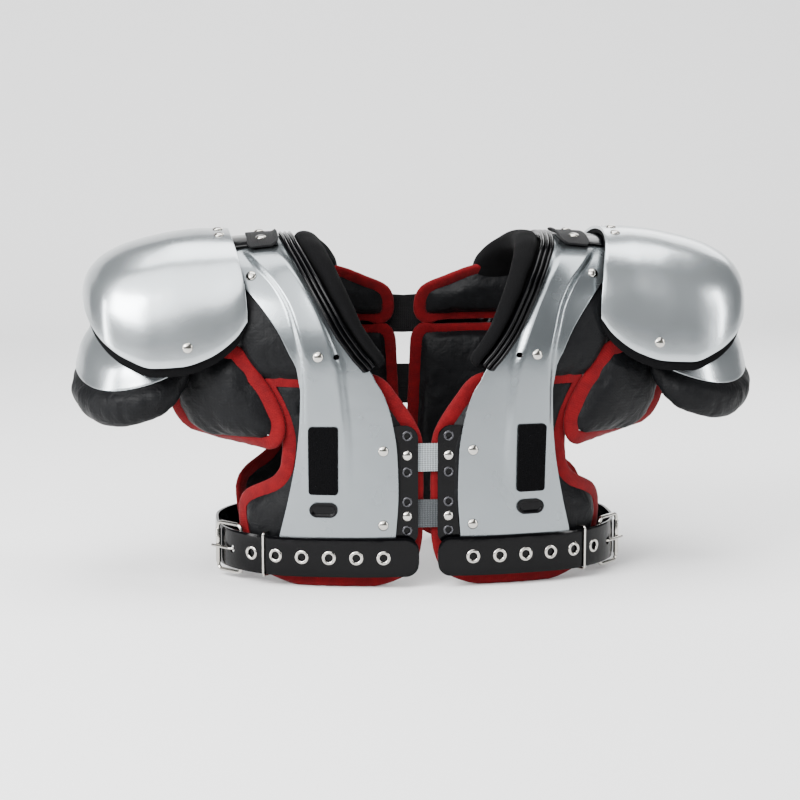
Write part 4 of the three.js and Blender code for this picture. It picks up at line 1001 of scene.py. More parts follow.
def inflate(piece: bpy.types.Object, free: Callable[[Vector], float], pressure: float = 3.5,
            frames: int = 14, cap: float = 6) -> None:
    """Let a pad's cover swell and crease as cloth under pressure.

    Args:
        piece: the closed pad.
        free: how freely the cloth may move at a place in millimetres, from 0 at a seam to 1.
        pressure: the air pressure that stands in for the foam.
        frames: how long the cloth moves.
        cap: the furthest in millimetres that a point may move.
    """
    modify(piece, "REMESH", mode="VOXEL", voxel_size=3.6 * MM, use_smooth_shade=True)
    start = [vertex.co.copy() for vertex in piece.data.vertices]
    select(piece)
    bpy.ops.object.modifier_add(type="CLOTH")
    cloth = piece.modifiers[-1]
    cloth.settings.use_pressure = True
    cloth.settings.uniform_pressure_force = pressure
    cloth.settings.tension_stiffness = 20
    cloth.settings.bending_stiffness = 0.15
    cloth.settings.shrink_min = -0.05
    cloth.settings.effector_weights.gravity = 0
    cloth.point_cache.frame_end = frames
    for step in range(1, frames + 1):
        bpy.context.scene.frame_set(step)
    bpy.ops.object.modifier_apply(modifier=cloth.name)
    bpy.context.scene.frame_set(1)
    for vertex, origin in zip(piece.data.vertices, start):
        moved = vertex.co - origin
        reach = min(moved.length, cap * MM) * free(origin / MM)
        vertex.co = origin + moved.normalized() * reach
    modify(piece, "SMOOTH", factor=0.5, iterations=1)
    modify(piece, "SUBSURF", levels=1, render_levels=1)


@dataclass
class QuiltedSet:
    """The pads that lie on the body form, with their shared seat under the shell."""

    seat: float = 9.5
    bulge_in: float = 9
    corner: float = 5
    collar_reach: float = 20.8    # how far the collar reaches in under the shell, with its gap
    shoulder_tuck: float = 0.045  # how far the shoulder pad runs in behind the armhole pad's tape
    # height share, inner and outer distance as shares of the waist's reach
    lower: tuple = ((0.045, 0.226, 0.677), (0.070, 0.154, 0.769), (0.130, 0.098, 0.856),
                    (0.250, 0.070, 0.918), (0.370, 0.067, 0.928), (0.420, 0.067, 0.872),
                    (0.470, 0.067, 0.759), (0.560, 0.067, 0.690), (0.700, 0.072, 0.674))
    chest: tuple = ((0.800, 0.118, 0.695), (0.900, 0.190, 0.738), (0.985, 0.251, 0.793))
    # path, inner and outer distance as shares of the waist's reach
    back: tuple = ((0.465, 0.087, 0.805), (0.431, 0.093, 0.855))
    nape: tuple = ((0.238, 0.370, 0.965), (0.285, 0.230, 0.958), (0.308, 0.130, 0.950),
                   (0.335, 0.106, 0.935), (0.394, 0.097, 0.895))
    shoulder: tuple = ((-0.49, 0.810), (-0.44, 0.887), (-0.39, 0.938), (-0.335, 0.949),
                       (-0.275, 0.969), (-0.2, 0.979), (-0.1, 0.979), (0, 0.979), (0.1, 0.979), (0.2, 0.975))

    def leg_rows(self, rows: Sequence, leg: Leg) -> list[tuple[float, float, float]]:
        """Turn rows by height into rows by path, in rising order of path."""
        made = [(FORM.path_at(h * FORM.leg_rise, leg), a, b) for h, a, b in rows]
        return sorted(made)

    def pad_on(self, name: str, rows: Sequence[tuple[float, float, float]], **settings: object) -> Pad:
        """Return a pad whose outline comes from rows on the form."""
        low, high = rows[0][0], rows[-1][0]
        width = max(b - a for _, a, b in rows) * FORM.waist_reach

        def spot(across: float, along: float) -> tuple[float, float]:
            """Return the distance from the centre and the path at shares of the pad."""
            path = mix(low, high, along)
            inset = corner_inset(self.corner, min(path - low, high - path) * FORM.path_length)
            inner, outer = (bend(rows, column, path) * FORM.waist_reach for column in (1, 2))
            return mix(inner + inset, outer - inset, across), path

        return Pad(name, lambda u, v: FORM.layer(*spot(u, v), -self.seat),
                   lambda u, v: FORM.normal(*spot(u, v)),
                   (width, (high - low) * FORM.path_length), bulge_in=self.bulge_in, **settings)

    def shoulder_rows(self, arch: ArchShell) -> list[tuple[float, float, float]]:
        """Return the shoulder pad's rows, which start outside the collar's tuck."""
        return [(path, (arch.edge(1, path) + self.collar_reach) / FORM.waist_reach,
                 outer + self.shoulder_tuck * (1 - ease(path, -0.3, -0.2))) for path, outer in self.shoulder]

    def build(self, arch: ArchShell) -> None:
        """Make every pad on the form and its tape."""
        chest = self.pad_on("chest_pad", self.leg_rows((*self.lower, *self.chest), Leg.FRONT),
                            bulge_out=2.0, seed=1.3, tape="chest_binding", steps=(40, 64))
        back = self.pad_on("back_pad", sorted((*self.leg_rows(self.lower, Leg.BACK), *self.back)),
                           bulge_out=2.6, seed=4.1, tape="back_binding", narrow_side=0, steps=(40, 74))
        nape = self.pad_on("nape_pad", self.nape, bulge_out=2.0, seed=7.7, tape="nape_binding",
                           narrow_side=2, steps=(44, 28))
        shoulder = self.pad_on("shoulder_pad", self.shoulder_rows(arch), bulge_out=4.5, seed=9.2,
                               steps=(30, 60))
        for pad in (chest, back, nape, shoulder):
            pad.build_pad([pad.name])
            if pad.tape:
                pad.build_tape([pad.tape])


@dataclass
class ArmholePad:
    """The padded leaf that hangs from the chest's outer edge and sweeps back round the arm."""

    quilts: QuiltedSet
    seat: float = 3.4
    sweep: float = 50
    tape_width: float = 9
    # height share, start share, outer distance as a share of the shoulder's reach
    rows: tuple = ((0.705, 0.12, 0.80), (0.745, 0.03, 0.88), (0.82, 0, 0.93), (0.91, 0, 0.953),
                   (1.01, 0, 0.96), (1.12, 0, 0.953))

    def root(self, z: float) -> tuple[float, float]:
        """Return the leaf's inner edge at a height: distance from the centre and path."""
        quilts = self.quilts
        edge = [(path, outer) for path, _, outer in
                quilts.leg_rows((*quilts.lower[4:], *quilts.chest), Leg.FRONT)]
        edge += [row for row in quilts.shoulder[1:5]]
        path = FORM.path_at(z, Leg.FRONT) if z <= FORM.leg_rise else FORM.arc_path(z)
        return bend(edge, 1, path) * FORM.waist_reach + self.tape_width, path

    def point(self, across: float, along: float) -> Vector:
        """Return the leaf's mid surface at shares out and up."""
        share = mix(self.rows[0][0], self.rows[-1][0], along)
        inner, path = self.root(share * FORM.leg_rise)
        start = bend(self.rows, 1, share)
        tip = bend(self.rows, 2, share) * FORM.shoulder_reach
        out = mix(start, 1, across)
        front = FORM.layer(inner, path, -self.seat)
        return Vector((mix(inner, tip, out), front.y + self.sweep * out ** 1.4, share * FORM.leg_rise))

    def normal(self, across: float, along: float) -> Vector:
        """Return the leaf's forward normal."""
        step = 0.02
        low_u, high_u = max(0, across - step), min(1, across + step)
        low_v, high_v = max(0, along - step), min(1, along + step)
        over = self.point(high_u, along) - self.point(low_u, along)
        up = self.point(across, high_v) - self.point(across, low_v)
        return over.cross(up).normalized()

    def build(self) -> None:
        """Make the leaf and its tape."""
        leaf = Pad("armhole_pad", self.point, self.normal, (100, 84), bulge_out=4.4, bulge_in=4.4,
                   seed=12.4, tape="armhole_binding", tape_wall=4.4, crown=22, pucker=1.3,
                   steps=(44, 40))
        leaf.build_pad(["armhole_pad"])
        leaf.build_tape(["armhole_binding"])


@dataclass
class ShoulderCap:
    """The cap, its foam lining, and the straps that it and the flap hang from."""

    inner: float = 170
    length: float = 158
    height: float = 126
    reach: float = 105
    lean: float = 15
    power: float = 2.4
    wall: float = 3
    shell_wall: float = 3             # the arch shell that the hinge lies on
    gap: float = 0.3
    lining_wall: float = 4
    reveal: float = 9
    lean_fade: float = 0.3
    hinge_line: float = 177
    hinge_wall: float = 2.5
    hinge_width: float = 84
    hinge_nose: float = 7
    tab_inner: float = 138.5
    tab_outer: float = 167.5
    tab_front: float = 7              # how far the tab stands out in front of the strap
    tab_back: float = 20              # how far it ends short of the strap behind
    tab_corner: float = 9
    tab_curl: float = 2.2
    tab_rivet: float = 154
    tab_gap: float = 0.2
    tab_wall: float = 2.2
    hinge_inner: float = 140
    hinge_outer: float = 216
    strap_width: float = 25
    strap_wall: float = 2
    strap_gap: float = 2
    # share of the length, top and rim as shares of the height, depth as a share of the reach
    rows: tuple = ((0, 1, 0.34, 0.94), (0.07, 1, 0.22, 0.97), (0.24, 1, 0.07, 0.99),
                   (0.40, 0.985, 0.01, 1), (0.57, 0.945, 0, 0.99), (0.73, 0.89, 0.07, 0.93),
                   (0.85, 0.82, 0.17, 0.83), (0.93, 0.74, 0.28, 0.67), (0.98, 0.65, 0.40, 0.45),
                   (1, 0.56, 0.49, 0.2))

    @property
    def top(self) -> float:
        """Return the cap's height, from the layers stacked on the crest at the hinge."""
        return (FORM.crest(self.hinge_line) + self.shell_wall + self.hinge_wall + self.lining_wall
                + self.wall + 3 * self.gap)

    def point(self, out: float, turn: float) -> Vector:
        """Return the cap's outside at shares out and over from the front rim to the back."""
        out, turn = min(1.0, max(0.0, out)), min(1.0, max(0.0, turn))
        low = self.top - self.height
        top = low + self.height * bend(self.rows, 1, out)
        rim = low + self.height * bend(self.rows, 2, out)
        angle = turn * math.pi
        climb = math.sin(angle) ** (2 / self.power)
        swing = math.copysign(abs(math.cos(angle)) ** (2 / self.power), -math.cos(angle))
        lean = self.lean * climb * climb * max(0.0, 1 - out / self.lean_fade)
        return Vector((self.inner + self.length * out + lean,
                       self.reach * bend(self.rows, 3, out) * swing, mix(rim, top, climb)))

    def normal(self, out: float, turn: float) -> Vector:
        """Return the cap's outward normal."""
        step = 0.008
        over = self.point(out + step, turn) - self.point(out - step, turn)
        round_ = self.point(out, turn + step) - self.point(out, turn - step)
        return over.cross(round_).normalized()

    def skin(self, offset: float, drop: float = 0) -> Point:
        """Return the place function of a layer at a distance from the cap's outside."""
        def place(u: float, v: float) -> Vector:
            """Return the layer's point, closer set towards the tip."""
            out = 1 - (1 - u) ** 1.6
            spot = self.point(out, v) + self.normal(out, v) * offset
            edge = max(0.0, 1 - min(v, 1 - v) / 0.11)
            spot.z -= drop * edge ** 1.5
            return spot
        return place

    def build_shell(self) -> None:
        """Make the cap's moulded shell and its foam lining."""
        shell = walled(panel("cap_shell", (60, 84), self.skin(0)), self.wall, 1.1, 3)
        # The cap's silver has a brighter base as painted light.
        dress(smooth(shell), LIGHT_BRIGHTENED_SILVER, ["cap_shell"])
        inside = self.skin(-self.wall - self.gap, self.reveal)
        lining = walled(panel("cap_lining", (60, 84), inside), self.lining_wall, 1.7, 4)
        dress(smooth(lining), FOAM, ["cap_lining"], 0.9)

    def hinge_point(self, x: float, y: float, offset: float) -> Vector:
        """Return a point above the form's crest at a distance in front of or behind it."""
        reach = abs(y) / FORM.half_depth(x, FORM.crest_height)
        angle = math.acos(min(1.0, reach ** (FORM.crest_power / 2)))
        path = math.copysign(FORM.arc_share * (1 - angle / (math.pi / 2)), y)
        return FORM.layer(x, path, offset)

    def build_hinge(self) -> None:
        """Make the strap that joins the cap to the arch, and the tab riveted over its end."""
        half = self.hinge_width / 2
        lift = self.shell_wall + self.gap + self.hinge_wall

        def place(u: float, v: float) -> Vector:
            """Return the strap's outside, narrower at its inner end."""
            corner = max(0.0, 1 - u / 0.14) ** 2 * self.hinge_nose
            y = mix(-half + corner, half - corner, v)
            return self.hinge_point(mix(self.hinge_inner, self.hinge_outer, u), y, lift)

        strap = walled(panel("hinge_strap", (40, 34), place), self.hinge_wall, 0.7)
        dress(smooth(strap), VINYL, ["hinge_strap"])
        lift += self.tab_gap + self.tab_wall
        front, back = -half - self.tab_front, half - self.tab_back

        def tab_place(u: float, v: float) -> Vector:
            """Return the tab's outside: its front corners are round and its end curls up."""
            y = mix(front, back, v)
            corner = max(0.0, 1 - (y - front) / self.tab_corner) ** 2 * 4
            x = mix(self.tab_inner + corner, self.tab_outer - corner, u)
            return self.hinge_point(x, y, lift + self.tab_curl * max(0.0, 1 - u / 0.16) ** 2)

        sizes = ((self.tab_outer - self.tab_inner) * MM, (back - front) * MM)
        tab = walled(panel("hinge_tab", (24, 40), tab_place, sizes), self.tab_wall, 0.5)
        dress(smooth(tab), WEBBING)
        heads = []
        for y in (10 - half, half - 34):
            foot = self.hinge_point(self.tab_rivet, y, lift)
            above = self.hinge_point(self.tab_rivet, y, lift + 1) - foot
            heads.append(rivet(foot, above.normalized(), rise=2.4))
        dress(joined("hinge_rivets", heads), NICKEL)

    def build_flap_strap(self) -> None:
        """Make the webbing under the lining that carries the flap."""
        half = self.strap_width / 2 / (math.pi * self.reach)
        drop = self.wall + self.gap + self.lining_wall + self.strap_gap

        def place(u: float, v: float) -> Vector:
            """Return the strap's outside."""
            out, turn = mix(0.42, 0.83, u), mix(0.5 - half, 0.5 + half, v)
            return self.point(out, turn) - self.normal(out, turn) * drop

        strap = walled(panel("flap_strap", (20, 8), place, (0.065, 0.025)), self.strap_wall)
        dress(smooth(strap), WEBBING, ["flap_strap"])

    def build_rivets(self) -> None:
        """Make the cap's rivets: one low in front and behind, and a row over the hinge."""
        spots = ((0.36, 0.03), (0.36, 0.97), (0.10, 0.40), (0.10, 0.47), (0.10, 0.60))
        heads = [rivet(self.point(out, turn), self.normal(out, turn), rise=2.5) for out, turn in spots]
        dress(joined("cap_rivets", heads), NICKEL)

    def build(self) -> None:
        """Make the cap and its straps."""
        self.build_shell()
        self.build_hinge()
        self.build_flap_strap()
        self.build_rivets()


@dataclass
class ArmFlap:
    """The flap that hangs under the cap round the upper arm, and its pad."""

    cap: ShoulderCap
    line: float = 262
    reach: float = 75
    depth: float = 84
    rim: float = 207
    dip: float = 19
    wall: float = 3
    sweep: float = 112
    pad_wall: float = 16
    pad_drop: float = 36
    hang_share: float = 0.80
    # share of the rise, radius as a share of the reach
    rows: tuple = ((0, 1), (0.19, 0.93), (0.42, 0.76), (0.75, 0.64))

    @property
    def hanger(self) -> Vector:
        """Return the place on the strap that the flap hangs from."""
        cap = self.cap
        drop = cap.wall + cap.gap + cap.lining_wall + cap.strap_gap + cap.strap_wall + 0.8
        return cap.point(self.hang_share, 0.5) - cap.normal(self.hang_share, 0.5) * drop

    def radius(self, height: float) -> float:
        """Return the radius as a share of the reach at a share of the rise."""
        return bend((*self.rows, (1, (self.hanger.x - self.line) / self.reach)), 1, height)

    def point(self, angle: float, radius: float, z: float, inwards: float) -> Vector:
        """Return a point round the arm: angle from the outside in radians."""
        dip = self.dip * math.sin(math.pi * min(1.0, abs(angle) / math.radians(self.sweep)))
        return Vector((self.line + (self.reach * radius - inwards) * math.cos(angle),
                       (self.depth * radius - inwards) * math.sin(angle), z - dip))

    def build_shell(self) -> None:
        """Make the flap's shell."""
        rise = self.hanger.z - self.rim
        limit = math.radians(self.sweep)

        def place(u: float, v: float) -> Vector:
            """Return the shell's outside."""
            return self.point(mix(-limit, limit, u), self.radius(v), self.rim + rise * v, 0)

        shell = walled(panel("flap_shell", (80, 36), place), self.wall, 1.0, 3)
        # The flap shares the cap's silver, whose brighter base is painted light.
        dress(smooth(shell), LIGHT_BRIGHTENED_SILVER, ["flap_shell"])

    def build_pad(self) -> None:
        """Make the pad that rolls out below the flap's rim."""
        rise = self.hanger.z - self.rim
        limit = math.radians(self.sweep)
        inside = self.wall + 0.6
        # distance out as a share of the pad's wall, drop below the rim as a share of its drop
        outline = ((0, -0.75), (0, 0.03), (0.42, 0.2), (0.42, 0.55), (0, 0.9), (-0.55, 1),
                   (-1, 0.75), (-1, -0.75))
        corners = softened(outline, 3)
        angles = [mix(-limit, limit, i / 104) for i in range(105)]
        stations = [Station(self.point(angle, 1, self.rim, inside),
                            Vector((math.cos(angle), math.sin(angle), 0)), Vector((0, 0, -1)))
                    for angle in angles]

        def section(share: float) -> Section:
            """Return the pad's section with its gathers."""
            angle = mix(-limit, limit, share)
            points = []
            for out, drop in corners:
                height = max(0.0, -drop * self.pad_drop / rise)
                back = (1 - self.radius(height)) * self.reach
                run = angle * self.reach
                gather = math.sin(run / 3.4 + noise.noise(Vector((run / 18, drop, 2))) * 4)
                swell = max(0.0, 1 - abs(drop - 0.5) / 0.6)
                ends = min(1.0, min(share, 1 - share) / 0.06) ** 0.5
                points.append((out * self.pad_wall * mix(0.55, 1, ends) - back + gather * 0.9 * swell,
                               drop * self.pad_drop * (0.7 + 0.3 * ends if drop > 0 else 1)))
            return points

        pad = swept("flap_pad", stations, section)
        inflate(pad, lambda spot: ease(self.rim - self.dip - spot.z, -8, 8), pressure=2.5, cap=4)
        dress(smooth(pad, 80), NYLON, ["flap_pad"], 0.7)

    def build(self) -> None:
        """Make the flap and its pad."""
        self.build_shell()
        self.build_pad()


@dataclass
class LacedFront:
    """The lacing plates, elastics, hook patch and blank plug on the chest, and the back webbing."""

    arch: ArchShell
    gap: float = 0.9
    plate_wall: float = 2.5
    plate_inner: float = 9.5
    plate_outer: float = 41
    plate_low: float = 40
    plate_high: float = 157
    plate_corner: float = 13
    eyelet_line: float = 20
    eyelet_floor: float = 0.7              # the floor left at the bottom of the eyelets, where the holes stop short of going through
    eyelet_radius: float = 3.2
    eyelet_heights: tuple = (147, 112, 83, 55)
    rivet_heights: tuple = (128, 69)
    elastic_wall: float = 2
    elastic_width: float = 27
    elastic_reach: float = 25
    webbing_wall: float = 2
    seat_gap: float = 0.3
    patch_line: float = 99
    patch_width: float = 27
    patch_high: float = 157
    patch_length: float = 66
    patch_wall: float = 2.5
    plug_height: float = 76
    plug_length: float = 26
    plug_width: float = 14
    plug_rise: float = 2.5
    plug_dish: float = 1.3

    def tablet(self, name: str, centre: tuple[float, float], width: float, height: float,
               corner: float, offset: Callable[[float, float], float], thickness: float,
               steps: tuple[int, int] = (24, 60)) -> bpy.types.Object:
        """Make a rounded plate bent round the front.

        Args:
            name: the object's name.
            centre: its middle, as the distance from the centre and the height.
            width: its width.
            height: its height.
            corner: its corners' radius.
            offset: its outside's distance from the form at a place.
            thickness: its wall.
            steps: faces across and along.

        Returns:
            The plate.
        """
        def place(u: float, v: float) -> Vector:
            """Return the plate's outside, closer set towards its ends."""
            along = closer(v)
            half = width / 2 - corner_inset(corner, min(along, 1 - along) * height)
            x = centre[0] + mix(-half, half, u)
            path = FORM.path_at(centre[1] + (along - 0.5) * height, Leg.FRONT)
            return FORM.layer(x, path, offset(x, path))

        return walled(panel(name, steps, place, (width * MM, height * MM)), thickness, 0.6)

    def build_plate(self) -> None:
        """Make the lacing plate with its eyelets and rivets."""
        middle = ((self.plate_inner + self.plate_outer) / 2, (self.plate_low + self.plate_high) / 2)
        plate = self.tablet("lace_plate", middle, self.plate_outer - self.plate_inner,
                            self.plate_high - self.plate_low, self.plate_corner,
                            lambda x, path: -self.gap, self.plate_wall)
        def spots(heights: Sequence[float], offset: float) -> list[tuple[Vector, Vector]]:
            """Return places and normals down the line of eyelets."""
            paths = [FORM.path_at(height, Leg.FRONT) for height in heights]
            return [(FORM.layer(self.eyelet_line, path, offset), FORM.normal(self.eyelet_line, path))
                    for path in paths]

        # The eyelet holes stop short of the plate's far side, so a floor of vinyl lies at their bottom.
        bottom = self.eyelet_floor - self.gap - self.plate_wall
        drill(plate, [(*spot, self.eyelet_radius)
                      for spot in spots(self.eyelet_heights, bottom + DRILL_LENGTH / 2)])
        dress(smooth(plate), VINYL, ["lace_plate"])
        rings = [eyelet(*spot, 2.9, 5.0) for spot in spots(self.eyelet_heights, -self.gap)]
        dress(joined("lace_eyelets", rings), BLACKENED)
        heads = [rivet(*spot, 5, 2.6) for spot in spots(self.rivet_heights, -self.gap)]
        dress(joined("lace_rivets", heads), NICKEL)

    def build_patch(self) -> None:
        """Make the hook patch and the blank oval plug on the rib."""
        middle = (self.patch_line, self.patch_high - self.patch_length / 2)
        patch = self.tablet("hook_patch", middle, self.patch_width, self.patch_length, 3,
                            lambda x, path: self.arch.wall + self.seat_gap + self.patch_wall
                            + self.arch.rise(x, path), self.patch_wall, (18, 36))
        dress(smooth(patch), HOOKS, ["hook_patch"])

        def dished(x: float, path: float) -> float:
            """Return the plug's face, which sinks to a flat floor inside its rim."""
            z = FORM.leg_rise * (1 - abs(path)) / (1 - FORM.arc_share)
            across = max(0.0, abs(x - self.patch_line) - (self.plug_length - self.plug_width) / 2)
            spread = math.hypot(across, z - self.plug_height) / (self.plug_width / 2)
            return (self.arch.wall + self.seat_gap + self.plug_rise
                    - self.plug_dish * (1 - ease(spread, 0.55, 0.75)))

        plug = self.tablet("oval_plug", (self.patch_line, self.plug_height), self.plug_length,
                           self.plug_width, self.plug_width / 2 - 0.05, dished, 1.2, (40, 28))
        dress(smooth(plug), VINYL, ["oval_plug"])

    def band(self, node: str, reach: float, paths: Sequence[float], offset: float, wall: float,
             finish: Finish) -> None:
        """Make a woven band across the centre between two paths."""
        def place(u: float, v: float) -> Vector:
            """Return the band's outside, a little slack in its middle."""
            x = mix(-reach, reach, u)
            slack = 0.5 * math.sin(math.pi * u) * math.sin(3.1 * v + 5 * u)
            return FORM.layer(x, mix(paths[0], paths[1], v), offset + slack)

        width = abs(paths[1] - paths[0]) * FORM.path_length * MM
        band = walled(panel(node, (36, 14), place, (2 * reach * MM, width)), wall, 0.5)
        claim(smooth(band), node, finish, [node])

    def build(self) -> None:
        """Make what closes the front and the back."""
        self.build_plate()
        self.build_patch()
        top = self.gap + self.plate_wall + self.seat_gap
        for node, height, finish in (("front_elastic_upper", 125.5, LIGHT_ELASTIC),
                                     ("front_elastic_lower", 71, DARK_ELASTIC)):
            paths = [FORM.path_at(height + side * self.elastic_width / 2, Leg.FRONT) for side in (-1, 1)]
            self.band(node, self.elastic_reach, paths, -top, self.elastic_wall, finish)
        lower = [FORM.path_at(height, Leg.BACK) for height in (188, 146)]
        for node, reach, paths in (("back_webbing_upper", 80.6, (0.335, 0.44)),
                                   ("back_webbing_lower", 62, lower)):
            self.band(node, reach, paths, -self.gap, self.webbing_wall, WEBBING)


@dataclass
class BuckledBelt:
    """The coated belt round the side with its eyelets, buckle, tab and keeper."""

    width: float = 38
    height: float = 30
    front: float = 9
    back: float = 80
    shell_wall: float = 3
    gap: float = 0.8
    wall: float = 2.5
    hole_radius: float = 4
    eyelet_floor: float = 0.7              # the floor left at the bottom of the eyelets, where the holes stop short of going through
    hole_first: float = 43
    hole_step: float = 25.8
    holes: int = 7
    buckle_length: float = 34
    buckle_height: float = 51
    wire: float = 4
    buckle_gap: float = 0.9
    prong_radius: float = 1.4
    keeper_place: float = 158
    keeper_wire: float = 2.3
    tab_start: float = 100
    tab_width: float = 34
    tab_seat: float = 0.9             # how far the tab's face lies inside the form
    steps: int = 720
    line: list = field(default_factory=list)
    lengths: list = field(default_factory=list)

    def __post_init__(self) -> None:
        """Work out the waist line that the belt follows."""
        power = 2 / FORM.side_power
        for i in range(self.steps + 1):
            angle = math.pi * i / self.steps
            sine = abs(math.sin(angle)) ** power
            cosine = math.copysign(abs(math.cos(angle)) ** power, math.cos(angle))
            self.line.append(Vector((FORM.half_width(self.height) * sine,
                                     -FORM.chest_reach * cosine, self.height)))
        self.lengths.append(0.0)
        for before, after in zip(self.line, self.line[1:]):
            self.lengths.append(self.lengths[-1] + (after - before).length)

    def station(self, distance: float) -> tuple[Vector, Vector, Vector]:
        """Return the place, direction and outward normal at a distance along the waist."""
        i = next((k for k, length in enumerate(self.lengths) if length >= distance), self.steps - 1)
        i = min(self.steps - 1, max(1, i))
        share = (distance - self.lengths[i - 1]) / (self.lengths[i] - self.lengths[i - 1])
        along = (self.line[i] - self.line[i - 1]).normalized()
        return self.line[i - 1].lerp(self.line[i], share), along, along.cross(Vector((0, 0, 1)))

    @property
    def inside(self) -> float:
        """Return the belt's inside, measured from the form."""
        return self.shell_wall + self.gap

    @property
    def buckle_place(self) -> float:
        """Return the buckle's distance along the waist."""
        return self.hole_first + self.hole_step * (self.holes - 1) + self.buckle_length * 0.22

    def strap(self, name: str, start: float, end: float, width: float, outside: float, wall: float,
              nose: float, steps: tuple[int, int]) -> bpy.types.Object:
        """Make a strap along the waist.

        Args:
            name: the object's name.
            start: where it starts, as a distance from the front centre.
            end: where it ends.
            width: its width.
            outside: its face's distance from the form.
            wall: its thickness.
            nose: the radius of its rounded front corners.
            steps: faces along and across.

        Returns:
            The strap.
        """
        def place(u: float, v: float) -> Vector:
            """Return the strap's face."""
            distance = mix(start, end, u ** 1.15)
            half = width / 2 - corner_inset(nose, distance - start)
            spot, _, normal = self.station(distance)
            sway = 0.5 * math.sin(distance / 31) + 0.25 * math.sin(distance / 13)
            edge = 0.5 * ease(abs(2 * v - 1), 0.75, 0.95)
            return (spot + normal * (outside + 0.35 * math.sin(distance / 22) - edge)
                    + Vector((0, 0, mix(-half, half, v) + sway * 0.6)))

        return walled(panel(name, steps, place, ((end - start) * MM, width * MM)), wall, 0.7)

    def build_belt(self) -> None:
        """Make the belt, its eyelets and the tab under it."""
        outside = self.inside + self.wall
        belt = self.strap("belt", self.front, self.lengths[-1] - self.back, self.width, outside,
                          self.wall, 13, (190, 14))
        spots = [self.station(self.hole_first + self.hole_step * i) for i in range(self.holes)]
        *punched, (spot, _, normal) = spots
        drill(belt, [(spot + normal * self.inside, normal, self.hole_radius)])
        # The punched holes stop short of the belt's inner face, so a floor of vinyl lies at their bottom;
        # the prong's hole goes through.
        depth = self.inside + self.eyelet_floor + DRILL_LENGTH / 2
        drill(belt, [(spot + normal * depth, normal, self.hole_radius) for spot, _, normal in punched])
        dress(smooth(belt), VINYL, ["belt"])
        rings = [eyelet(spot + normal * outside, normal, 3.7, 6.9) for spot, _, normal in punched]
        dress(joined("belt_eyelets", rings), NICKEL)
        end = self.buckle_place - self.buckle_length / 2 - 0.6
        tab = self.strap("belt_tab", self.tab_start, end, self.tab_width, -self.tab_seat, self.wall, 3,
                         (40, 10))
        dress(smooth(tab), VINYL, ["belt_tab"])

    def bars(self) -> tuple[Vector, Vector]:
        """Return the buckle's toe bar, over the belt, and its heel bar, under it."""
        half = self.buckle_length / 2 - self.wire / 2
        clear = self.buckle_gap + self.wire / 2
        toe, _, toe_normal = self.station(self.buckle_place + half)
        heel, _, heel_normal = self.station(self.buckle_place - half)
        return (toe + toe_normal * (self.inside + self.wall + clear),
                heel + heel_normal * (self.inside - clear))

    def ring(self, name: str, outline: Section, place: Callable[[float, float], Vector],
             side: Vector, radius: float) -> bpy.types.Object:
        """Bend round wire along a closed outline."""
        points = [place(a, b) for a, b in outline]
        stations = []
        for i, point in enumerate(points):
            along = (points[(i + 1) % len(points)] - points[i - 1]).normalized()
            stations.append(Station(point, along.cross(side).normalized(), side))
        return swept(name, stations, lambda _share: circle(radius, 14), closed=True)

    def build_buckle(self) -> None:
        """Make the buckle's frame with its roller, and its prong."""
        toe, heel = self.bars()
        along = (toe - heel).normalized()
        middle = (toe + heel) / 2
        up = Vector((0, 0, 1))
        side = along.cross(up)
        length = (toe - heel).length + self.wire
        outline = rounded(length - self.wire, self.buckle_height - self.wire, 5, 5)
        hoop = self.ring("hoop", outline, lambda a, b: middle + along * a + up * b, side,
                         self.wire / 2 - 0.1)
        bpy.ops.object.select_all(action="DESELECT")
        bpy.ops.mesh.primitive_cylinder_add(vertices=28, radius=(self.wire / 2 + 0.55) * MM,
                                            depth=(self.buckle_height - 17) * MM)
        roller = bpy.context.object
        modify(roller, "BEVEL", width=0.5 * MM, segments=2, limit_method="ANGLE")
        settle(roller, Matrix.Translation(toe * MM))
        dress(smooth(joined("buckle_frame", [hoop, roller])), NICKEL, ["buckle_frame"])
        hole, hole_along, normal = self.station(self.hole_first + self.hole_step * (self.holes - 1))
        clear = self.wire / 2 + 0.3 + self.prong_radius
        route = [heel + along * clear, hole + normal * (self.inside - 1) - hole_along,
                 hole + normal * (self.inside + self.wall + 1) + hole_along,
                 toe - side * -(clear + 0.9), toe - side * -(clear + 0.9) + along * self.wire]
        path = self.rounded_route(route)
        stations = []
        for i, point in enumerate(path):
            way = (path[min(i + 1, len(path) - 1)] - path[max(i - 1, 0)]).normalized()
            stations.append(Station(point, way.cross(up).normalized(), up))
        prong = swept("buckle_prong", stations, lambda _share: circle(self.prong_radius, 12))
        dress(smooth(prong), NICKEL, ["buckle_prong"])

    @staticmethod
    def rounded_route(route: Sequence[Vector], rounds: int = 3) -> list[Vector]:
        """Cut an open route's corners until it runs smooth."""
        path = list(route)
        for _ in range(rounds):
            cut = [path[0]]
            for start, end in zip(path, path[1:]):
                cut += [start.lerp(end, 0.25), start.lerp(end, 0.75)]
            path = cut + [path[-1]]
        return path

    def build_keeper(self) -> None:
        """Make the wire keeper round the belt and its tab."""
        spot, along, normal = self.station(self.keeper_place)
        low = -self.tab_seat - self.wall - 0.3
        high = self.inside + self.wall + 0.6
        half = self.width / 2 + 0.9
        wire = self.keeper_wire / 2
        outline = rounded(high - low + 2 * wire, 2 * half + 2 * wire, 2.2, 4, ((high + low) / 2, 0))
        keeper = self.ring("belt_keeper", outline,
                           lambda a, b: spot + normal * a + Vector((0, 0, b)), along, wire)
        dress(smooth(keeper), NICKEL, ["belt_keeper"])

    def build(self) -> None:
        """Make the belt and its hardware."""
        self.build_belt()
        self.build_buckle()
        self.build_keeper()


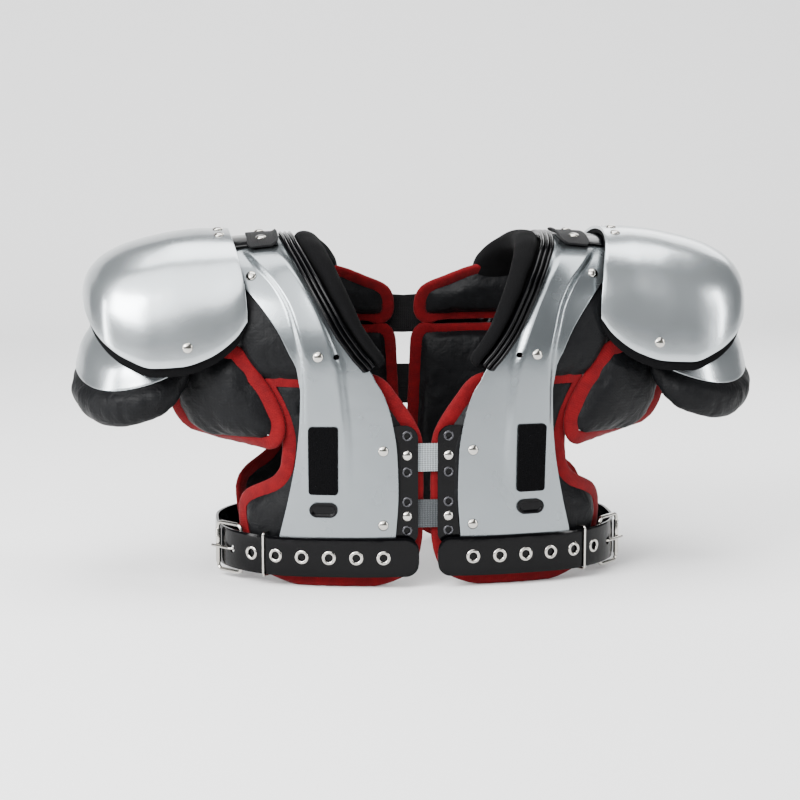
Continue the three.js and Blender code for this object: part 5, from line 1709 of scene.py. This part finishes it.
@dataclass(frozen=True)
class Studio:
    """The pale floor, soft lights, and camera at the photograph's angle."""

    azimuth: float = -6
    elevation: float = 8
    distance: float = 2.0
    aim: Vector = field(default_factory=lambda: Vector((-0.027, -0.118, 0.182)))
    span: float = 0.76  # metres across the picture at the aim

    def build_camera(self) -> None:
        """Place the camera."""
        turn, lift = math.radians(self.azimuth), math.radians(self.elevation)
        back = Vector((math.sin(turn) * math.cos(lift), -math.cos(turn) * math.cos(lift),
                       math.sin(lift)))
        data = bpy.data.cameras.new("camera")
        data.sensor_width = 36
        data.lens = data.sensor_width * self.distance / self.span
        camera = bpy.data.objects.new("camera", data)
        bpy.context.scene.collection.objects.link(camera)
        camera.location = self.aim + FORM.shift * MM + back * self.distance
        camera.rotation_euler = back.to_track_quat("Z", "Y").to_euler()
        bpy.context.scene.camera = camera

    def build_floor(self) -> None:
        """Make the floor, curving up to a backdrop."""
        def place(u: float, v: float) -> Vector:
            """Return a point of the sweep: flat, then a quarter round, then upright."""
            x, run = mix(-4000, 4000, u), mix(-3000, 5200, v)
            start, radius = 2200, 900
            if run < start:
                return Vector((x, run, 0))
            angle = min(math.pi / 2, (run - start) / radius)
            rest = max(0.0, run - start - radius * math.pi / 2)
            return Vector((x, start + radius * math.sin(angle), radius * (1 - math.cos(angle)) + rest))

        floor = panel("floor", (8, 90), place)
        floor.data.materials.append(Finish("matte white paper sweep", "none", "f4f4f4", 0.9).material())
        smooth(floor)

    @staticmethod
    def hang(data: bpy.types.Light, place: tuple[float, float, float]) -> None:
        """Hang a light so that it faces the set."""
        light = bpy.data.objects.new(data.name, data)
        bpy.context.scene.collection.objects.link(light)
        light.location = place
        aim = Vector((0, 0, 0.18)) - light.location
        light.rotation_euler = aim.to_track_quat("-Z", "Y").to_euler()

    def build_lights(self) -> None:
        """Hang the soft boxes and set the room's light."""
        for name, place, size, power in (
                ("key", (-1.4, -1.3, 1.3), (1.2, 0.9), 80), ("fill", (1.7, -1.0, 0.8), (0.25, 1.3), 18),
                ("top", (0.1, 0.3, 2.1), (1.8, 1.2), 50), ("side", (-1.9, -0.5, 0.5), (0.3, 1.2), 22),
                ("rim", (0.9, 1.5, 1.3), (1.2, 0.8), 12)):
            data = bpy.data.lights.new(name, "AREA")
            data.shape, data.size, data.size_y, data.energy = "RECTANGLE", *size, power
            self.hang(data, place)
        data = bpy.data.lights.new("ceiling", "SUN")
        data.angle, data.energy = math.radians(60), 3.4
        self.hang(data, (-0.8, -1.5, 2.0))
        world = bpy.data.worlds.new("studio")
        world.use_nodes = True
        world.node_tree.nodes["Background"].inputs[0].default_value = rgb("e6e8ea")
        world.node_tree.nodes["Background"].inputs[1].default_value = 0.32
        bpy.context.scene.world = world

    def build(self) -> None:
        """Set up the studio."""
        self.build_camera()
        self.build_floor()
        self.build_lights()


def main() -> None:
    """Build the set, piece by piece, and note its size."""
    logging.basicConfig(level=logging.INFO, format="%(name)s: %(message)s")
    Studio().build()
    arch = ArchShell()
    arch.build()
    Collar(arch).build()
    quilts = QuiltedSet()
    quilts.build(arch)
    ArmholePad(quilts).build()
    cap = ShoulderCap()
    cap.build()
    ArmFlap(cap).build()
    LacedFront(arch).build()
    BuckledBelt().build()


if __name__ == "__main__":
    main()
